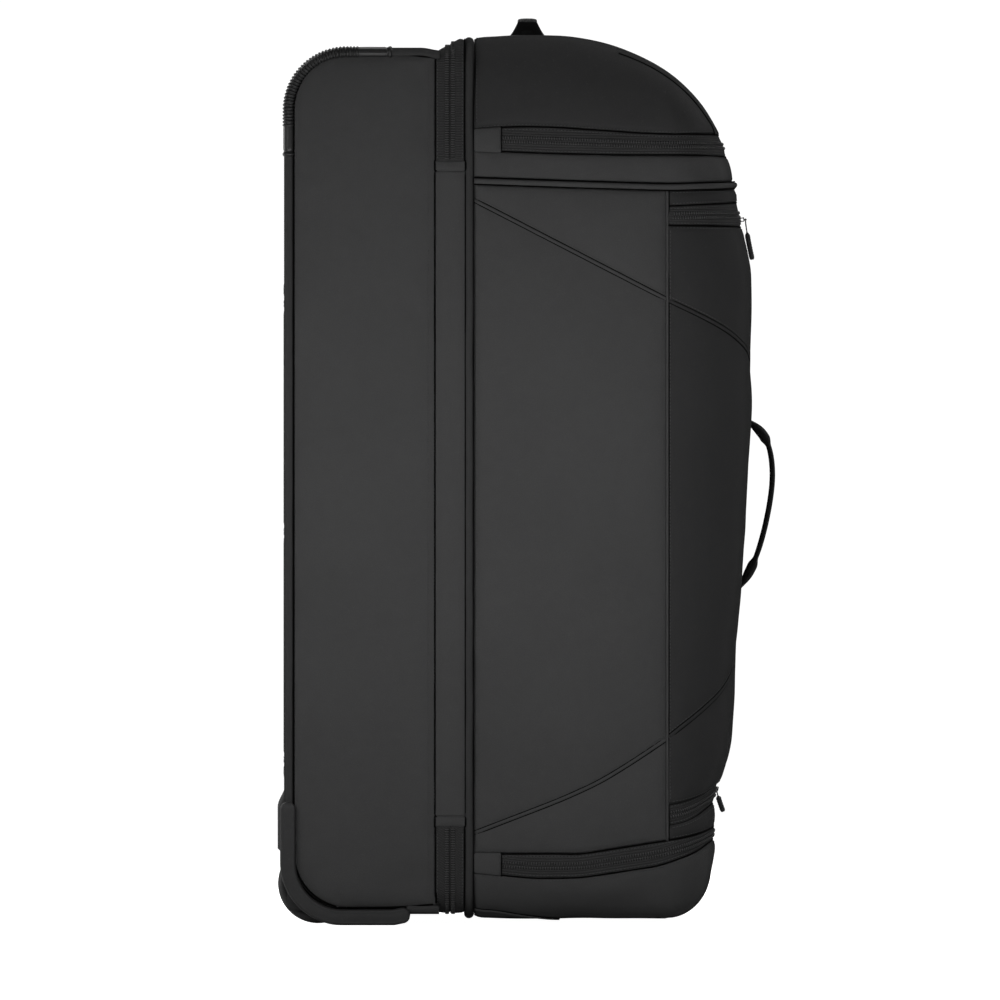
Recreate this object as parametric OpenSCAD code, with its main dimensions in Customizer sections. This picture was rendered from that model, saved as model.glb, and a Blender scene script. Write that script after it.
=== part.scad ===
// Wheeled split-level gear duffel, standing on its wheel end.
// X runs from the back (wheels, telescoping handle) to the front pockets, Y across, Z up.
// The left side is at -Y, and carries the fabric hinge between the two compartments.
// Depths are measured along X from the line of the back piping.

/* [Case] */
// Width over the two side panels
case_w = 380; // [360:1:400]
// Height of the front compartment's top
case_h = 813.5; // [810:0.5:830]
// Depth of the rear tray, from its back piping to the band
tray_d = 139; // [135:1:150]
// Depth of the whole case, from its back piping to the front panel
front_d = 426.4; // [420:0.1:440]
// Height of the tray's top piping
tray_top = 803; // [800:0.5:806]
// Height of the tray's underside
tray_bottom = 10; // [9:0.5:11]
// Corner radius of the tray's back corners
tray_corner = 57; // [50:1:60]
// Thickness of the padded fabric walls
wall = 3; // [2.5:0.1:3.5]
// Radius of the tray's piping
piping_r = 4.5; // [4:0.1:4.5]
// Radius of the mouth piping
mouth_r = 4.6; // [4:0.1:4.6]

/* [Zips] */
// Width of each half of the band between the compartments
band_half = 12.3; // [12:0.1:13]
// Gap between the two halves, on the coil's line
coil_gap = 1.2; // [1:0.1:1.5]
// Where the main zip ends on the hinge side, above and below
hinge_top = 699; // [690:1:705]
// Lower end of the hinge panel
hinge_low = 90.5; // [85:0.5:95]

/* [Wheels] */
// Wheel radius
wheel_r = 37; // [34:0.5:37]
// Wheel width
wheel_w = 28; // [24:1:28]
// Depth of the wheel's centre
wheel_d = 31; // [31:0.5:33]
// Height of the wheel's centre
wheel_z = 38; // [37.5:0.5:39]
// Distance of the wheel's mid-plane from the middle of the case
wheel_y = 165; // [163:0.5:165]
// Radius of the axle pins
axle_r = 4; // [3:0.5:5]

/* [Telescoping handle] */
// Depth of the tubes' centre lines
tube_d = 24; // [23:0.5:25]
// Distance of each tube from the middle
tube_y = 60; // [50:1:65]
// Outer radius of the fixed sleeves
sleeve_r = 11; // [11:0.1:11.5]
// Outer radius of the middle tubes
middle_r = 9.8; // [9.6:0.1:9.8]
// Outer radius of the inner tubes
inner_r = 8.2; // [8:0.1:8.2]

/* [Grab handles] */
// How far the front handle stands out from the front panel
handle_proud = 23.8; // [20:0.1:28]
// Height of the top handle's top
top_handle_z = 835.4; // [834:0.1:840]

/* [Hidden] */
$fn = 48;

// Driving places along the depth
flange_proud = 6.4;                                   // wheel housing flange behind the piping line
back_x = -(front_d + handle_proud - flange_proud) / 2; // X of the piping line
coil_d = tray_d + band_half + coil_gap / 2;           // main zip's coil line
mouth_d = coil_d + coil_gap / 2 + band_half;          // back of the mouth piping
tub_d = mouth_d + 2 * mouth_r;                        // back edge of the front panels
plan_r = 75;                                          // rounding of the front's two upright edges
seam_d = front_d - plan_r;                            // upright seam where the front starts to turn
half_w = case_w / 2;
band_y = half_w + 1;                                  // outer face of the band
band_t = 2.5;                                         // thickness of the band
band_low = 10.5;
band_top = case_h - 1.5;
tub_low = 6.4;                                        // underside of the front compartment
plate_gap = 0.3;                                      // room between a moving piece and its neighbour

// Handle recess
cup_floor = 735;
cup_d = 47;
cup_y = 91;
cup_wall = 3;

// Colours
fabric = [0.22, 0.22, 0.23];
dark_fabric = [0.16, 0.16, 0.17];
trim = [0.13, 0.13, 0.14];
plastic = [0.18, 0.18, 0.19];
rubber = [0.1, 0.1, 0.1];
metal = [0.7, 0.7, 0.72];
dark_metal = [0.3, 0.3, 0.32];

// Points of an arc about c, from angle a0 to a1 in n steps
function arc(c, r, a0, a1, n = 10) =
    [for (i = [0:n]) let (a = a0 + (a1 - a0) * i / n) [c[0] + r * cos(a), c[1] + r * sin(a)]];

function reverse(list) = [for (i = [len(list) - 1:-1:0]) list[i]];

// Closed rectangle from -w to w and z0 to z1 with corner radius r
function round_rect(w, z0, z1, r, n = 6) = concat(
    arc([w - r, z1 - r], r, 0, 90, n), arc([r - w, z1 - r], r, 90, 180, n),
    arc([r - w, z0 + r], r, 180, 270, n), arc([w - r, z0 + r], r, 270, 360, n));

// Side outline of the tray, t inside the piping's outer line and open at depth d
function tray_outline(t, d) = concat(
    [[d, tray_bottom + t]],
    arc([tray_corner, tray_bottom + tray_corner], tray_corner - t, 270, 180),
    arc([tray_corner, tray_top - tray_corner], tray_corner - t, 180, 90),
    [[d, tray_top - t]]);

// The front panel's line as [set-back from the foremost line, height], from below upwards
front_line = [[31.4, 78], [29.4, 114], [19.4, 165], [13.4, 260], [6.4, 370], [0, 500],
              [0, 600], [6.9, 650], [10.4, 668], [14.4, 682], [20.9, 712]];
dome_r = 172;                       // large arc from the top down to the top zip
dome_d = front_d - 176.4;           // depth of that arc's centre
toe_r = 41;                         // small arc from the underside up to the front
toe_d = front_d - 74.4;

// Side outline of the front compartment, t inside its surface and open at depth d
function front_outline(t, d) = concat(
    [[d, tub_low + t]],
    arc([toe_d, tub_low + toe_r + 0.6], toe_r - t, 270, 355, 8),
    [for (p = front_line) [front_d - p[0] - t, p[1]]],
    arc([dome_d, case_h - dome_r], dome_r - t, 28, 90, 12),
    [[d, case_h - t]]);

// Outline seen from above, with the two front edges rounded
function plan_outline(t, d) = concat(
    [[d, t - half_w]],
    arc([seam_d, plan_r - half_w], plan_r - t, 270, 360, 8),
    arc([seam_d, half_w - plan_r], plan_r - t, 0, 90, 8),
    [[d, half_w - t]]);

// A flat shape in (depth, height), drawn through from y0 to y1
module across(y0, y1) {
    translate([back_x, y1, 0]) rotate([90, 0, 0]) linear_extrude(y1 - y0) children();
}

// A flat shape in (Y, height), drawn from depth d0 to d1
module along(d0, d1) {
    translate([back_x + d0, 0, 0]) rotate([90, 0, 90]) linear_extrude(d1 - d0) children();
}

// A flat shape in (depth, Y), drawn from height z0 to z1
module upright(z0, z1) {
    translate([back_x, 0, z0]) linear_extrude(z1 - z0) children();
}

// Box from corner a to corner b, given as [depth, y, z]
module block(a, b) {
    translate([back_x + a[0], a[1], a[2]]) cube(b - a);
}

// Rod along Y at (depth, height)
module rod_y(d, z, r, y0, y1) {
    across(y0, y1) translate([d, z]) circle(r);
}

// Upright rod
module rod_z(d, y, r, z0, z1) {
    translate([back_x + d, y, z0]) cylinder(r = r, h = z1 - z0);
}

// Mirrors what is drawn at +Y to the left side
module side(left) {
    mirror([0, left ? 1 : 0, 0]) children();
}

// ---- Tray ----

module tray_side(left) {
    color(fabric) side(left) across(half_w - wall, half_w) polygon(tray_outline(10.6, tray_d));
}

rail_y = 95;
rail_screws = [150, 360, 570];

// Rods through the back at each rail screw
module at_rail_screws() {
    for (y = [-rail_y, rail_y], z = rail_screws)
        translate([back_x, y, z]) rotate([0, 90, 0]) children();
}

module tray_wrap() {
    wrap_y = half_w - 8.6;
    color(fabric) difference() {
        across(-wrap_y, wrap_y) polygon(tray_outline(2.5, tray_d));
        across(-case_w, case_w) polygon(tray_outline(2.5 + wall, tray_d + 1));
        block([-5, -cup_y, cup_floor], [cup_d, cup_y, tray_top + 5]);
        for (s = [-1, 1]) rod_y(wheel_d, wheel_z, well_r + 3.2, s * wheel_y - 19, s * wheel_y + 19);
        at_rail_screws() cylinder(r = 1.6, h = 20);
    }
}

piping_end = 114;       // height where the piping goes under the bumper
bumper_front = 115;     // depth where the bumper ends under the case

// A cord of radius r round the tray's side outline, from height z0 on the back to depth d1 on top
module outline_cord(r, z0, d1) {
    path_r = tray_corner - piping_r;
    rotate([90, 0, 0]) {
        translate([piping_r, z0, 0]) rotate([-90, 0, 0])
            cylinder(r = r, h = tray_top - tray_corner - z0);
        translate([tray_corner, tray_top - tray_corner, 0]) rotate([0, 0, 90])
            rotate_extrude(angle = 90) translate([path_r, 0]) circle(r);
        translate([tray_corner, tray_top - piping_r, 0]) rotate([0, 90, 0])
            cylinder(r = r, h = d1 - tray_corner);
    }
}

module tray_piping(left) {
    color(trim) side(left) translate([back_x, half_w - 2.5, 0]) {
        outline_cord(piping_r, piping_end + 0.2, tray_d);
        translate([bumper_front + 0.2, 0, tray_bottom + piping_r]) rotate([0, 90, 0])
            cylinder(r = piping_r, h = tray_d - bumper_front - 0.2);
    }
}

module corner_guard(left) {
    color(trim) side(left) translate([back_x, half_w - 2.5, 0]) difference() {
        outline_cord(6, 703, 99.5);
        outline_cord(piping_r, 702, 100.5);
    }
}

well_r = 42;            // inside radius of the wheel well
bumper_back = -3.5;
bumper_r = 57;
foot_flat = 104;        // the foot is flat from the corner to this depth

// Bumper's outer line, t inside it, from its top on the back to its end under the case
function bumper_line(t) = concat(
    [[bumper_back + t, piping_end]],
    arc([bumper_back + bumper_r, bumper_r], bumper_r - t, 180, 270),
    [[foot_flat, t], [bumper_front, t + 4]]);

module wheel_housing(left) {
    color(plastic) side(left) difference() {
        union() {
            // bumper strip over the edge and the side panel
            across(half_w - 7, half_w + 0.2)
                polygon(concat(bumper_line(0), reverse(bumper_line(11))));
            across(half_w + 0.2, half_w + 10)
                polygon(concat(bumper_line(0), reverse(bumper_line(14))));
            // flange on the back above the wheel, with a tongue into the cup
            across(wheel_y - 22, wheel_y + 17.5) polygon([[-flange_proud, 66], [-flange_proud, 112],
                [-2, 128], [2.4, 128], [2.4, 66]]);
            across(wheel_y - 18, wheel_y + 17.5) polygon([[2, 66], [2, 72.5], [4.5, 72.5], [4.5, 66]]);
            // cup round the wheel
            intersection() {
                rod_y(wheel_d, wheel_z, well_r + 3, wheel_y - 18, wheel_y + 18);
                across(100, half_w) polygon(tray_outline(2.5, tray_d));
            }
        }
        rod_y(wheel_d, wheel_z, well_r, wheel_y - 15, wheel_y + 15);
        rod_y(wheel_d, wheel_z, axle_r, wheel_y - 25, wheel_y + 18.5);
    }
}

module axles() {
    color(metal) for (left = [false, true]) side(left) {
        rod_y(wheel_d, wheel_z, axle_r, wheel_y - 18, wheel_y + 18);
        rod_y(wheel_d, wheel_z, 7, wheel_y - 20.5, wheel_y - 18);
    }
}

board_d = 2.5 + wall;    // depth of the stiffener's back face
board_t = 2.5;

module back_board() {
    color(plastic) difference() {
        block([board_d, -172, 92], [board_d + board_t, 172, cup_floor - 0.5]);
        at_rail_screws() cylinder(r = 1.6, h = 20);
    }
}

module skid_rails() {
    color(plastic) difference() {
        for (y = [-rail_y, rail_y])
            along(-2, 2.5) translate([y, 0]) polygon(round_rect(6, 132, 590, 5.9));
        at_rail_screws() translate([0, 0, -3]) cylinder(r = 3, h = 3);
        at_rail_screws() cylinder(r = 1.6, h = 20);
    }
}

module screws() {
    color(dark_metal) at_rail_screws() {
        translate([0, 0, -1.8]) cylinder(r = 3, h = 1.8);
        cylinder(r = 1.6, h = board_d + board_t);
    }
}

// ---- Telescoping handle ----

foot_z = 92;
sleeve_low = 104;

module handle_cup() {
    color(plastic) difference() {
        intersection() {
            across(-cup_y, cup_y) polygon(tray_outline(1, tray_d));
            block([-5, -cup_y, cup_floor], [cup_d, cup_y, tray_top + 5]);
        }
        block([2.5 + cup_wall, cup_wall - cup_y, cup_floor + cup_wall + 0.5],
              [cup_d - cup_wall, cup_y - cup_wall, tray_top + 5]);
        block([-5, cup_wall - cup_y, cup_floor + 17], [cup_d - cup_wall, cup_y - cup_wall, tray_top + 5]);
        for (s = [-1, 1]) rod_z(tube_d, s * tube_y, middle_r + 0.5, cup_floor - 1, cup_floor + 10);
    }
}

module tube_pair(r, bore, z0, z1) {
    for (s = [-1, 1]) difference() {
        rod_z(tube_d, s * tube_y, r, z0, z1);
        rod_z(tube_d, s * tube_y, bore, z0 - 1, z1 + 1);
    }
}

module handle_sleeves() {
    color(metal) tube_pair(sleeve_r, middle_r + 0.4, sleeve_low, cup_floor);
}

module sleeve_foot() {
    color(plastic) union() {
        block([board_d + board_t, -tube_y - 20, foot_z], [38, tube_y + 20, sleeve_low]);
        for (s = [-1, 1]) rod_z(tube_d, s * tube_y, middle_r, sleeve_low, sleeve_low + 20);
    }
}

module tube_shroud() {
    shroud_y = tube_y + 24;
    color(fabric) difference() {
        block([board_d + board_t, -shroud_y, sleeve_low], [39, shroud_y, cup_floor]);
        block([board_d, 2.5 - shroud_y, sleeve_low - 1], [36.5, shroud_y - 2.5, cup_floor + 1]);
    }
}

module middle_tubes() {
    color(metal) tube_pair(middle_r, inner_r + 0.4, 172, 742);
}

module inner_tubes() {
    color(metal) tube_pair(inner_r, inner_r - 1.2, 182, 757);
}

grip_low = 744;
bar_low = 758;
bar_top = 775;
button_y = 12;

module grip() {
    color(plastic) difference() {
        union() {
            across(-75, 75) translate([tube_d, 0]) polygon(round_rect(12, bar_low, bar_top, 7));
            for (s = [-1, 1]) rod_z(tube_d, s * tube_y, 11.5, grip_low, bar_low + 4);
        }
        for (s = [-1, 1]) rod_z(tube_d, s * tube_y, inner_r + 0.05, grip_low - 1, bar_low - 1);
        block([tube_d - 5.3, -button_y - 0.3, bar_top - 11.5], [tube_d + 5.3, button_y + 0.3, bar_top + 1]);
    }
}

module grip_button() {
    color(trim) block([tube_d - 5, -button_y, bar_top - 7], [tube_d + 5, button_y, bar_top + 4]);
}

// ---- Band between the compartments ----

// One half of the band, from depth d0 to d1, without its hinge stretch
module zip_band(d0, d1) {
    difference() {
        along(d0, d1) polygon(round_rect(band_y, band_low, band_top, 24));
        along(d0 - 1, d1 + 1)
            polygon(round_rect(band_y - band_t, band_low + band_t, band_top - band_t, 24 - band_t));
        block([d0 - 1, -band_y - 1, hinge_low], [d1 + 1, -band_y + 20, hinge_top]);
    }
}

module hinge_strip(d0, d1) {
    block([d0, -band_y, hinge_low + 0.2], [d1, band_t - band_y, hinge_top - 0.2]);
}

module tray_zip_tape() {
    color(dark_fabric) zip_band(tray_d, tray_d + band_half);
}

module hinge_panel_tray() {
    color(fabric) hinge_strip(tray_d, tray_d + band_half);
}

module front_zip_tape() {
    color(dark_fabric) zip_band(mouth_d - band_half, mouth_d);
}

module hinge_panel_front() {
    color(fabric) hinge_strip(mouth_d - band_half, mouth_d);
}

// ---- Front compartment ----

// The compartment's solid body, t inside its surface and open at depth d
module tub(t, d) {
    intersection() {
        across(-case_w, case_w) polygon(front_outline(t, d));
        upright(0, case_h + 5) polygon(plan_outline(t, d));
        along(d, front_d + 10) polygon(round_rect(half_w - t, tub_low + t, case_h - t, 30 - t));
    }
}

// The part of the compartment's wall between insets t0 and t1 inside a side-view mask
module tub_wall(t0, t1, mask) {
    difference() {
        intersection() {
            tub(t0, tub_d);
            across(-case_w, case_w) polygon(mask);
        }
        tub(t1, tub_d - 1);
    }
}

far_d = front_d + 10;
yoke_low = 675.3;
yoke_top = 681.7;
zip_top_low = 704.6;
zip_top_high = 727.4;

// Lower zip band's two lines, rising towards the front
zip_low_upper = [[tub_d - 2, 65], [270, 64.5], [342, 75.5], [386, 84.5], [far_d, 96]];
zip_low_lower = [[tub_d - 2, 48.5], [228, 43], [271, 43.4], [341, 54], [376, 65], [395, 77], [far_d, 90]];

// Pocket zips on the front panel, in side view
upper_pocket = [[seam_d - 5, 640.5], [far_d, 640.5], [far_d, 658.8], [seam_d - 5, 658.8]];
lower_pocket = [[seam_d - 5, 90], [370, 94], [384, 100.5], [396, 110], [far_d, 128],
                [far_d, 150], [400, 131], [384, 118], [366, 112], [seam_d - 5, 109]];

module front_side(left) {
    color(fabric) side(left) intersection() {
        tub_wall(0, wall, concat(zip_low_upper, [[far_d, yoke_low], [tub_d - 2, yoke_low]]));
        block([0, 100, 0], [seam_d - 0.1, case_w, case_h]);
    }
}

module front_panel() {
    color(dark_fabric) difference() {
        tub_wall(0, wall, concat(zip_low_upper, [[far_d, yoke_low], [tub_d - 2, yoke_low]]));
        block([0, -case_w, 0], [seam_d, case_w, case_h + 5]);
        across(-case_w, case_w) polygon(upper_pocket);
        across(-case_w, case_w) polygon(lower_pocket);
    }
}

module pocket_tape(t0, mask) {
    color(dark_fabric) difference() {
        tub_wall(t0, t0 + 2, mask);
        block([0, -case_w, 0], [seam_d, case_w, case_h + 5]);
    }
}

module upper_pocket_zip_tape() {
    pocket_tape(1, upper_pocket);
}

pocket_recess = 3;       // the lower pocket's zip is tucked under the panel's fullness

module lower_pocket_zip_tape() {
    pocket_tape(pocket_recess, lower_pocket);
}

module top_cap() {
    color(dark_fabric) tub_wall(0, wall, [[tub_d - 2, zip_top_high], [far_d, zip_top_high],
        [far_d, case_h + 5], [tub_d - 2, case_h + 5]]);
}

module top_zip_tape() {
    color(dark_fabric) tub_wall(1, 3, [[tub_d - 2, zip_top_low], [far_d, zip_top_low],
        [far_d, zip_top_high], [tub_d - 2, zip_top_high]]);
}

module yoke_strip() {
    color(fabric) tub_wall(0, wall, [[tub_d - 2, yoke_top], [far_d, yoke_top],
        [far_d, zip_top_low], [tub_d - 2, zip_top_low]]);
}

module yoke_piping() {
    color(trim) tub_wall(-2.2, wall, [[tub_d - 2, yoke_low], [far_d, yoke_low],
        [far_d, yoke_top], [tub_d - 2, yoke_top]]);
}

module bottom_zip_tape() {
    color(dark_fabric) tub_wall(1, 3, concat(zip_low_lower, reverse(zip_low_upper)));
}

module bottom_cap() {
    color(fabric) tub_wall(0, wall, concat([[tub_d - 2, 0], [far_d, 0]], reverse(zip_low_lower)));
}

module mouth_piping() {
    w = band_y + 0.5 - mouth_r;
    low = tub_low - 1 + mouth_r;
    high = case_h - mouth_r;
    r = 24;
    color(trim) translate([back_x + mouth_d + mouth_r, 0, 0]) rotate([90, 0, 90]) {
        for (s = [-1, 1]) {
            translate([s * w, low + r, 0]) rotate([-90, 0, 0]) cylinder(r = mouth_r, h = high - low - 2 * r);
            translate([s * (w - r), high - r, 0]) rotate([0, 0, s > 0 ? 0 : 90])
                rotate_extrude(angle = 90) translate([r, 0]) circle(mouth_r);
            translate([s * (w - r), low + r, 0]) rotate([0, 0, s > 0 ? 270 : 180])
                rotate_extrude(angle = 90) translate([r, 0]) circle(mouth_r);
        }
        for (z = [low, high])
            translate([r - w, z, 0]) rotate([0, 90, 0]) cylinder(r = mouth_r, h = 2 * (w - r));
    }
}

// ---- Divider ----

divider_d = 144.5;       // depth of the divider's back face
divider_t = 2.5;
divider_y = half_w - 7;

module divider_panel() {
    color(dark_fabric) along(divider_d, divider_d + divider_t)
        polygon(round_rect(divider_y - 5, 24, case_h - 15, 18));
}

module divider_binding() {
    color(trim) difference() {
        along(divider_d - 0.7, divider_d + divider_t + 0.7)
            polygon(round_rect(divider_y, 19, case_h - 10, 23));
        along(divider_d - 2, divider_d + divider_t + 2)
            polygon(round_rect(divider_y - 5, 24, case_h - 15, 18));
    }
}

// ---- Wheels ----

module wheel_tyre(left) {
    color(rubber) side(left) translate([back_x + wheel_d, wheel_y, wheel_z]) rotate([90, 0, 0])
        rotate_extrude() polygon([[27, -11], [wheel_r - 6, -wheel_w / 2], [wheel_r - 1.5, -9], [wheel_r, 0],
            [wheel_r - 1.5, 9], [wheel_r - 6, wheel_w / 2], [27, 11]]);
}

bearing_r = 11;

module wheel_hub(left) {
    color(plastic) side(left) difference() {
        union() {
            rod_y(wheel_d, wheel_z, 27, wheel_y - 4, wheel_y + 4);
            rod_y(wheel_d, wheel_z, 15, wheel_y - 12, wheel_y + 12);
            difference() {
                rod_y(wheel_d, wheel_z, 27, wheel_y - 11, wheel_y + 11);
                rod_y(wheel_d, wheel_z, 23.5, wheel_y - 12, wheel_y + 12);
            }
        }
        rod_y(wheel_d, wheel_z, bearing_r, wheel_y - 13, wheel_y - 5);
        rod_y(wheel_d, wheel_z, bearing_r, wheel_y + 5, wheel_y + 13);
        rod_y(wheel_d, wheel_z, axle_r + 1, wheel_y - 13, wheel_y + 13);
        for (a = [0:60:300])
            rod_y(wheel_d + 19 * cos(a), wheel_z + 19 * sin(a), 3, wheel_y - 5, wheel_y + 5);
    }
}

module wheel_bearings(left) {
    color(metal) side(left) for (y = [wheel_y - 12, wheel_y + 5]) difference() {
        rod_y(wheel_d, wheel_z, bearing_r, y, y + 7);
        rod_y(wheel_d, wheel_z, axle_r + 0.05, y - 1, y + 8);
    }
}

// ---- Grab handles ----

top_handle_d = 223;
top_handle_y = 92;        // half the length between its sewn ends
top_pivot_z = case_h + 5.5;
front_grab_low = 318;     // heights of the front handle's two ends
front_grab_high = 457;
front_pivot_d = front_d + 3;
strap_t = 4;

// Depth of the front panel's surface at height z
function panel_d(z) = front_d - lookup(z, [for (p = front_line) [p[1], p[0]]]);

// Outer and inner line of a strap's arch over a base of length len, rising h
function arch(len, h, t) = concat(
    [for (i = [0:16]) let (u = i / 16) [len * u, h * pow(sin(180 * u), 0.6)]],
    [for (i = [16:-1:0]) let (u = i / 16) [t + (len - 2 * t) * u, (h - t) * pow(sin(180 * u), 0.6) - 0.01]]);

module top_handle() {
    rise = top_handle_z - top_pivot_z;
    color(trim) intersection() {
        along(top_handle_d - 10.5, top_handle_d + 10.5)
            translate([-top_handle_y, top_pivot_z]) polygon(arch(2 * top_handle_y, rise, strap_t));
        upright(top_pivot_z - 1, top_handle_z + 1) translate([top_handle_d, 0]) polygon([
            [-4.5, -top_handle_y - 1], [-10.5, 21 - top_handle_y], [-10.5, top_handle_y - 21],
            [-4.5, top_handle_y + 1], [4.5, top_handle_y + 1], [10.5, top_handle_y - 21],
            [10.5, 21 - top_handle_y], [4.5, -top_handle_y - 1]]);
    }
}

module front_handle() {
    len = front_grab_high - front_grab_low;
    color(trim) intersection() {
        across(-14, 14) translate([front_pivot_d, front_grab_low]) rotate([0, 0, 90]) mirror([0, 1])
            polygon(arch(len, front_d + handle_proud - front_pivot_d, strap_t));
        along(front_pivot_d - 1, front_d + handle_proud + 1) polygon([
            [-4, front_grab_low - 1], [-14, front_grab_low + 18], [-14, front_grab_high - 18],
            [-4, front_grab_high + 1], [4, front_grab_high + 1], [14, front_grab_high - 18],
            [14, front_grab_low + 18], [4, front_grab_low - 1]]);
    }
}

module handle_anchors() {
    color(trim) {
        for (s = [-1, 1]) {
            y = s * (top_handle_y + 4);
            block([top_handle_d - 20, y - 14, case_h], [top_handle_d + 20, y + 14, case_h + 1.5]);
        }
        for (z = [[front_grab_low - 10, front_grab_low + 16], [front_grab_high - 14, front_grab_high + 10]])
            across(-14, 14) polygon([[panel_d(z[0]), z[0]], [panel_d(z[1]), z[1]],
                [panel_d(z[1]) + 1.2, z[1]], [panel_d(z[0]) + 1.2, z[0]]]);
    }
}

// ---- Sliders and pulls ----
// Local frame: X along the pull's hinge pin, Y outwards from the tape, Z up.

pin_y = 5.1;
pin_r = 1.2;
lug_x = 3.5;

// The zip runs along Z if upright_zip, else along X
module slider_body(upright_zip) {
    long = upright_zip ? 9 : 13;
    tall = upright_zip ? 13 : 9;
    color(dark_metal) difference() {
        union() {
            translate([-long / 2, plate_gap, -tall / 2]) cube([long, 3.1, tall]);
            for (s = [-1, 1])
                translate([s * (lug_x + 0.6) - 0.6, 1, -2]) cube([1.2, pin_y + 1, 4]);
        }
        translate([-10, pin_y, 0]) rotate([0, 90, 0]) cylinder(r = pin_r + 0.08, h = 20, $fn = 24);
    }
}

// Flat tab hanging len below the pin, stepped sideways by shift
module pull_tab(len, shift = 0) {
    color(dark_metal) union() {
        translate([-lug_x - 1.1, pin_y, 0]) rotate([0, 90, 0]) cylinder(r = pin_r, h = 2 * lug_x + 2.2, $fn = 24);
        translate([0, pin_y + 0.8, 0]) rotate([90, 0, 0]) linear_extrude(1.6) union() {
            polygon([[-3.2, 0.6], [3.2, 0.6], [3.2, -9], [-3.2, -9]]);
            polygon([[min(-3.2, shift - 3.6), -5.5], [max(3.2, shift + 3.6), -5.5],
                [max(3.2, shift + 3.6), -9.5], [min(-3.2, shift - 3.6), -9.5]]);
            polygon([[shift - 3.6, -9], [shift + 3.6, -9], [shift + 3.6, -len], [shift - 3.6, -len]]);
        }
    }
}

// Places of the sliders on the tape: [depth, Y, height]
upper_main = [coil_d, band_y, 446];
lower_main = [coil_d, band_y, 420];
top_place = [218, half_w - 1, 716];
bottom_place = [218, half_w - 1, 56];
upper_pocket_place = [front_d - 7.9, 60, 649.6];
lower_pocket_place = [panel_d(120) - pocket_recess, 100, 120];
upper_tilt = 10;
lower_tilt = -11;

module on_right(p) {
    translate([back_x + p[0], p[1], p[2]]) children();
}

// On the front face, leaning outwards at the foot by tilt
module on_front(p, tilt) {
    translate([back_x + p[0], p[1], p[2]]) rotate([0, -tilt, 0]) rotate([0, 0, -90]) children();
}

module main_slider_upper() { on_right(upper_main) slider_body(true); }
module main_slider_lower() { on_right(lower_main) slider_body(true); }
module top_slider() { on_right(top_place) slider_body(false); }
module bottom_slider() { on_right(bottom_place) slider_body(false); }
module upper_pocket_slider() { on_front(upper_pocket_place, upper_tilt) slider_body(false); }
module lower_pocket_slider() { on_front(lower_pocket_place, lower_tilt) slider_body(false); }
module main_pull_upper() { on_right(upper_main) pull_tab(38, -9.6); }
module main_pull_lower() { on_right(lower_main) pull_tab(38); }
module top_pull() { on_right(top_place) pull_tab(34); }
module bottom_pull() { on_right(bottom_place) pull_tab(34); }
module upper_pocket_pull() { on_front(upper_pocket_place, upper_tilt) pull_tab(38); }

// Hangs plumb from the leaning slider's pin
module lower_pocket_pull() {
    pin = [cos(lower_tilt) * pin_y, sin(lower_tilt) * pin_y];
    on_front([lower_pocket_place[0] + pin[0] - pin_y, lower_pocket_place[1],
        lower_pocket_place[2] + pin[1]], 0) pull_tab(22);
}

tray_side(true);  // tray_side_left
tray_side(false);  // tray_side_right
tray_wrap();
tray_piping(true);  // tray_piping_left
tray_piping(false);  // tray_piping_right
corner_guard(true);  // corner_guard_left
corner_guard(false);  // corner_guard_right
wheel_housing(true);  // wheel_housing_left
wheel_housing(false);  // wheel_housing_right
axles();
back_board();
skid_rails();
handle_cup();
handle_sleeves();
sleeve_foot();
tube_shroud();
screws();
tray_zip_tape();
hinge_panel_tray();
front_side(true);  // front_side_left
front_side(false);  // front_side_right
front_panel();
top_cap();
yoke_strip();
bottom_cap();
top_zip_tape();
bottom_zip_tape();
upper_pocket_zip_tape();
lower_pocket_zip_tape();
mouth_piping();
yoke_piping();
front_zip_tape();
hinge_panel_front();
handle_anchors();
wheel_hub(true);  // wheel_hub_left
wheel_hub(false);  // wheel_hub_right
wheel_tyre(true);  // wheel_tyre_left
wheel_tyre(false);  // wheel_tyre_right
wheel_bearings(true);  // wheel_bearings_left
wheel_bearings(false);  // wheel_bearings_right
middle_tubes();
inner_tubes();
grip();
grip_button();
divider_panel();
divider_binding();
top_handle();
front_handle();
main_slider_upper();
main_slider_lower();
top_slider();
bottom_slider();
upper_pocket_slider();
lower_pocket_slider();
main_pull_upper();
main_pull_lower();
top_pull();
bottom_pull();
upper_pocket_pull();
lower_pocket_pull();
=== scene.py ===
"""Wheeled split-level gear duffel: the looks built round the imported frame.

Lengths are metres in the frame's own axes: X from the wheeled back to the front pockets, Y across,
Z up. Depth is distance along X from the line of the back piping. The left side is at -Y.
"""
import math

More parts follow.
